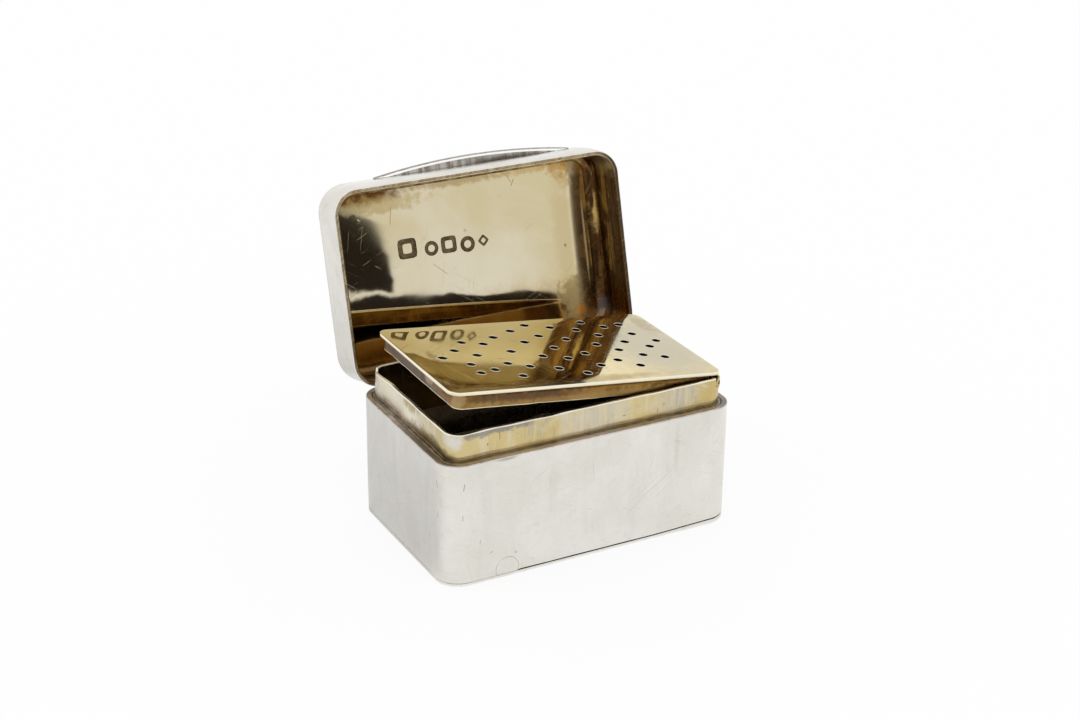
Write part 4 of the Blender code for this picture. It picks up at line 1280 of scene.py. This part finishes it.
def makePin(name, direction, spec, node, place):
    # a drawn wire with softly domed ends
    radius, start, end = spec["pin"], -spec["pinEnd"], spec["pinEnd"]
    run = [(start, 0.55), (start + 0.02 * mm, 0.8), (start + 0.08 * mm, 1.0)]
    run += [(start + (end - start) * step / 12, 1.0) for step in range(1, 12)]
    run += [(end - 0.08 * mm, 1.0), (end - 0.02 * mm, 0.8), (end, 0.55)]
    stations = [(along, radius * share) for along, share in run]
    piece = rod(name, direction, (0, 0), stations, 28, (pinSilver,))
    if direction == "Y":
        cut(piece, filing(0.0))
    settle(piece, "body", (node,), place)


def makeBearer(name, node, body, place, seed):
    # a bar along the hinge with worn long edges
    low, high = bearerBox(node)
    edge, steps = bearer["edge"], bearer["steps"]
    loops = []
    for step in range(steps + 1):
        x = low[0] + (high[0] - low[0]) * step / steps
        pinch = edge if step in (0, steps) else 0.0
        loop = []
        for cy, cz, start in ((high[1], low[2], -90), (high[1], high[2], 0), (low[1], high[2], 90),
                              (low[1], low[2], 180)):
            sideY = -1 if cy == high[1] else 1
            sideZ = -1 if cz == high[2] else 1
            for part in range(5):
                angle = math.radians(start + 90 * part / 4)
                loop.append((x, cy + sideY * (edge + pinch) + edge * math.cos(angle),
                             cz + sideZ * (edge + pinch) + edge * math.sin(angle)))
        loops.append(loop)
    piece = section(name, loops, (hingeSilver,))
    beaten(piece, hingeWear["bearer"], hingeWear["bearerDent"], seed)
    settle(piece, body, (node,), place)


def makeHinges():
    alongX = Matrix.Rotation(math.pi / 2, 4, "Y")
    alongY = Matrix.Rotation(-math.pi / 2, 4, "X")
    makeKnuckles("hingeKnucklesBody", lidKnuckles, 0, hingeSilver, alongX, "body",
                 ("body_knuckle_left", "body_knuckle_middle", "body_knuckle_right"), lidAxis)
    makeKnuckles("hingeKnucklesLid", lidKnuckles, 1, hingeSilver, alongX, "lid",
                 ("lid_knuckle_left", "lid_knuckle_right"), lidPlace)
    makeKnuckles("barrelCollar", grilleKnuckles, 0, barrelGilt, alongY, "body",
                 ("collar_knuckle_front", "collar_knuckle_middle", "collar_knuckle_back"), grilleAxis)
    makeKnuckles("barrelGrille", grilleKnuckles, 1, barrelGilt, alongY, "grille",
                 ("grille_knuckle_front", "grille_knuckle_back"), grillePlace)
    makePin("lidHingePin", "X", lidKnuckles, "lid_hinge_pin", lidAxis)
    makePin("grilleHingePin", "Y", grilleKnuckles, "grille_hinge_pin", grilleAxis)
    makeBearer("hingeBearerBody", "body_hinge_bearer", "body", None, 12)
    makeBearer("hingeBearerLid", "lid_hinge_bearer", "lid", lidPlace, 13)


def bearerBox(node):
    # a bearer's box in its own leaf's directions
    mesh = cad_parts[node].data
    back = lidPlace.inverted() if node.startswith("lid") else Matrix.Identity(4)
    points = [back @ vert.co for vert in mesh.vertices]
    low = [min(point[axis] for point in points) for axis in range(3)]
    high = [max(point[axis] for point in points) for axis in range(3)]
    return low, high


def makeLeaves():
    # the two moving knuckles are soldered to the frame by short leaves
    pitch = (grilleKnuckles["end"] - grilleKnuckles["start"]) / grilleKnuckles["count"]
    build = bmesh.new()
    for index in (1, 3):
        start = grilleKnuckles["start"] + pitch * index + grilleKnuckles["gap"] / 2
        low = (leaf["left"], start, leaf["low"])
        high = (leaf["right"], start + pitch - grilleKnuckles["gap"], leaf["high"])
        for vert in bmesh.ops.create_cube(build, size=1.0)["verts"]:
            vert.co = Vector([low[axis] + (vert.co[axis] + 0.5) * (high[axis] - low[axis])
                              for axis in range(3)])
    bmesh.ops.bevel(build, geom=build.edges[:], offset=leaf["bevel"], segments=2, affect="EDGES")
    settle(built("barrelLeaves", build, (barrelGilt,)), "grille", (), grillePlace)


makeGrillePlate()
makeGrilleFrame()
makeHinges()
makeLeaves()
print("grille and hinges made")


# Sponge

sponge = {"x": 13.9 * mm, "y": 7.9 * mm, "low": 0.7 * mm, "top": 7.1 * mm, "crown": 0.45 * mm,
          "corner": 2.0 * mm, "edge": 0.5 * mm, "pore": 0.55 * mm, "poreDepth": 0.32 * mm,
          "poreShare": 0.42, "lump": 2.4 * mm, "lumpDepth": 0.25 * mm, "crownRows": 44,
          "fineness": {"corner": 14, "along": 110, "across": 64}}


def makeSponge():
    # a cut block of sponge: crowned, soft-edged and full of pores
    kept = dict(fineness)
    fineness.update(sponge["fineness"])
    shape = (-sponge["x"], sponge["x"], -sponge["y"], sponge["y"], sponge["corner"])
    low, top, edge = sponge["low"], sponge["top"], sponge["edge"]
    rings = [level(shape, low, -edge * 1.2, share=step / 20) for step in range(1, 20)]
    rings += rounding(shape, low, edge, False, -1, 0.0, 0)[::-1]
    rings += wallRings(shape, low + edge * 1.2, top - edge * 1.2, 20)
    rings += rounding(shape, top, edge, False, 1, 0.0, 0)
    for step in range(1, sponge["crownRows"]):
        points = outline(shape, -edge, 1 - step / sponge["crownRows"])
        domed = [(x, y, top + sponge["crown"] * (1 - (x / sponge["x"]) ** 2) * (1 - (y / sponge["y"]) ** 2))
                 for x, y in points]
        rings.append((domed, 0.0, 0))
    fineness.update(kept)
    made = loft("spongeBlock", rings, (drySponge,), closed=False)
    mesh = made.data
    normals = [vert.normal.copy() for vert in mesh.vertices]
    for vert, normal in zip(mesh.vertices, normals):
        distance = noise.voronoi(vert.co / sponge["pore"])[0][0]
        pore = max(0.0, 1 - distance / sponge["poreShare"])
        lump = noise.noise(vert.co / sponge["lump"]) - 0.5
        vert.co += normal * (lump * sponge["lumpDepth"] - pore * sponge["poreDepth"])
    mesh.update()
    settle(made, "body", ("sponge",))


makeSponge()
print("sponge made")


# Studio

def makeWorld():
    # white all round; only in reflections, a dark stretch stands in front, as a room's unlit side does
    world = bpy.data.worlds.new("studio")
    bpy.context.scene.world = world
    world.use_nodes = True
    tree = world.node_tree
    direction = put(tree, "ShaderNodeTexCoord").outputs["Generated"]
    parts = put(tree, "ShaderNodeSeparateXYZ", {0: direction}).outputs
    ragged = times(tree, minus(tree, noiseAt(tree, direction, 40.0), 0.5), studio["ragged"])
    azimuth = calc(tree, "DEGREES", calc(tree, "ARCTAN2", parts["X"], times(tree, parts["Y"], -1.0)))
    azimuth = plus(tree, azimuth, ragged)
    height = plus(tree, calc(tree, "DEGREES", calc(tree, "ARCSINE", parts["Z"])), ragged)
    soft, tall = studio["soft"], studio["tall"]

    def between(value, low, high):
        rising = smooth(tree, value, low - soft, low + soft)
        return times(tree, rising, smooth(tree, value, high + soft, high - soft))

    # the stretch is dark up to a horizon that sinks to the right, with a taller part on its left
    startAt, startHigh, endAt, endHigh = studio["horizon"]
    line = put(tree, "ShaderNodeMapRange", {
        0: azimuth, 1: startAt, 2: endAt, 3: startHigh, 4: endHigh}).outputs[0]
    above = minus(tree, height, line)
    room = times(tree, smooth(tree, above, soft, -soft), between(azimuth, studio["left"], studio["right"]))
    room = times(tree, room, smooth(tree, height, studio["low"] - soft, studio["low"] + soft))
    raised = calc(tree, "MAXIMUM", minus(tree, height, tall["leanFrom"]), 0.0)
    leaning = minus(tree, azimuth, times(tree, raised, tall["lean"]))
    upper = times(tree, between(leaning, studio["left"], tall["right"]),
                  smooth(tree, height, tall["high"] + soft, tall["high"] - soft))
    upper = times(tree, upper, smooth(tree, above, tall["gap"] - soft, tall["gap"] + soft))
    glossy = put(tree, "ShaderNodeLightPath").outputs["Is Glossy Ray"]
    mask = times(tree, calc(tree, "MAXIMUM", room, upper), glossy)
    tree.links.new(mixed(tree, mask, (1, 1, 1), studio["dark"]), tree.nodes["Background"].inputs["Color"])


def makeFloor():
    size, sink = studio["floor"], -0.00001
    mesh = bpy.data.meshes.new("floor")
    corners = [(-size, -size, sink), (size, -size, sink), (size, size, sink), (-size, size, sink)]
    mesh.from_pydata(corners, [], [(0, 1, 2, 3)])
    material = bpy.data.materials.new("white floor")
    material.use_nodes = True
    tree = material.node_tree
    tree.nodes.remove(tree.nodes["Principled BSDF"])
    card = put(tree, "ShaderNodeBsdfDiffuse", {"Color": (0.96, 0.96, 0.96, 1)})
    # metal sees the floor a little dimmer behind the box's left side
    place = put(tree, "ShaderNodeTexCoord").outputs["Object"]
    parts = put(tree, "ShaderNodeSeparateXYZ", {0: place}).outputs
    cloud = times(tree, minus(tree, noiseAt(tree, place, 60, 2.0), 0.5), 16 * mm)
    leftSide = smooth(tree, parts["X"], -2 * mm, -20 * mm)
    near = smooth(tree, plus(tree, parts["X"], cloud), -48 * mm, -15 * mm)
    backSide = smooth(tree, plus(tree, parts["Y"], cloud), -13 * mm, -3 * mm)
    shade = times(tree, times(tree, times(tree, leftSide, near), backSide), studio["floorShade"])
    seen = put(tree, "ShaderNodeLightPath").outputs["Is Glossy Ray"]
    strength = minus(tree, 1.0, times(tree, shade, seen))
    glow = put(tree, "ShaderNodeEmission", {"Color": (1, 1, 1, 1), "Strength": strength})
    both = put(tree, "ShaderNodeMixShader", {0: studio["floorGlow"], 1: card.outputs[0], 2: glow.outputs[0]})
    tree.links.new(both.outputs[0], tree.nodes["Material Output"].inputs["Surface"])
    linkMesh("floor", mesh, (material,))


def placeCamera():
    azimuth, elevation, roll = (math.radians(camera[key]) for key in ("azimuth", "elevation", "roll"))
    back = Vector((math.sin(azimuth) * math.cos(elevation), -math.cos(azimuth) * math.cos(elevation),
                   math.sin(elevation)))
    right = (-back).cross(Vector((0, 0, 1))).normalized()
    up = right.cross(-back)
    axes = (right * math.cos(roll) + up * math.sin(roll), up * math.cos(roll) - right * math.sin(roll), back,
            Vector(camera["target"]) + back * camera["distance"])
    data = bpy.data.cameras.new("camera")
    data.lens = camera["lens"]
    data.sensor_width = 36
    data.clip_start, data.clip_end = 0.01, 20
    made = bpy.data.objects.new("camera", data)
    bpy.context.scene.collection.objects.link(made)
    made.matrix_world = Matrix([[axis[row] for axis in axes] for row in range(3)] + [[0, 0, 0, 1]])
    bpy.context.scene.camera = made


makeWorld()
makeFloor()
placeCamera()
bpy.context.scene.view_settings.view_transform = "Standard"
print("studio made")
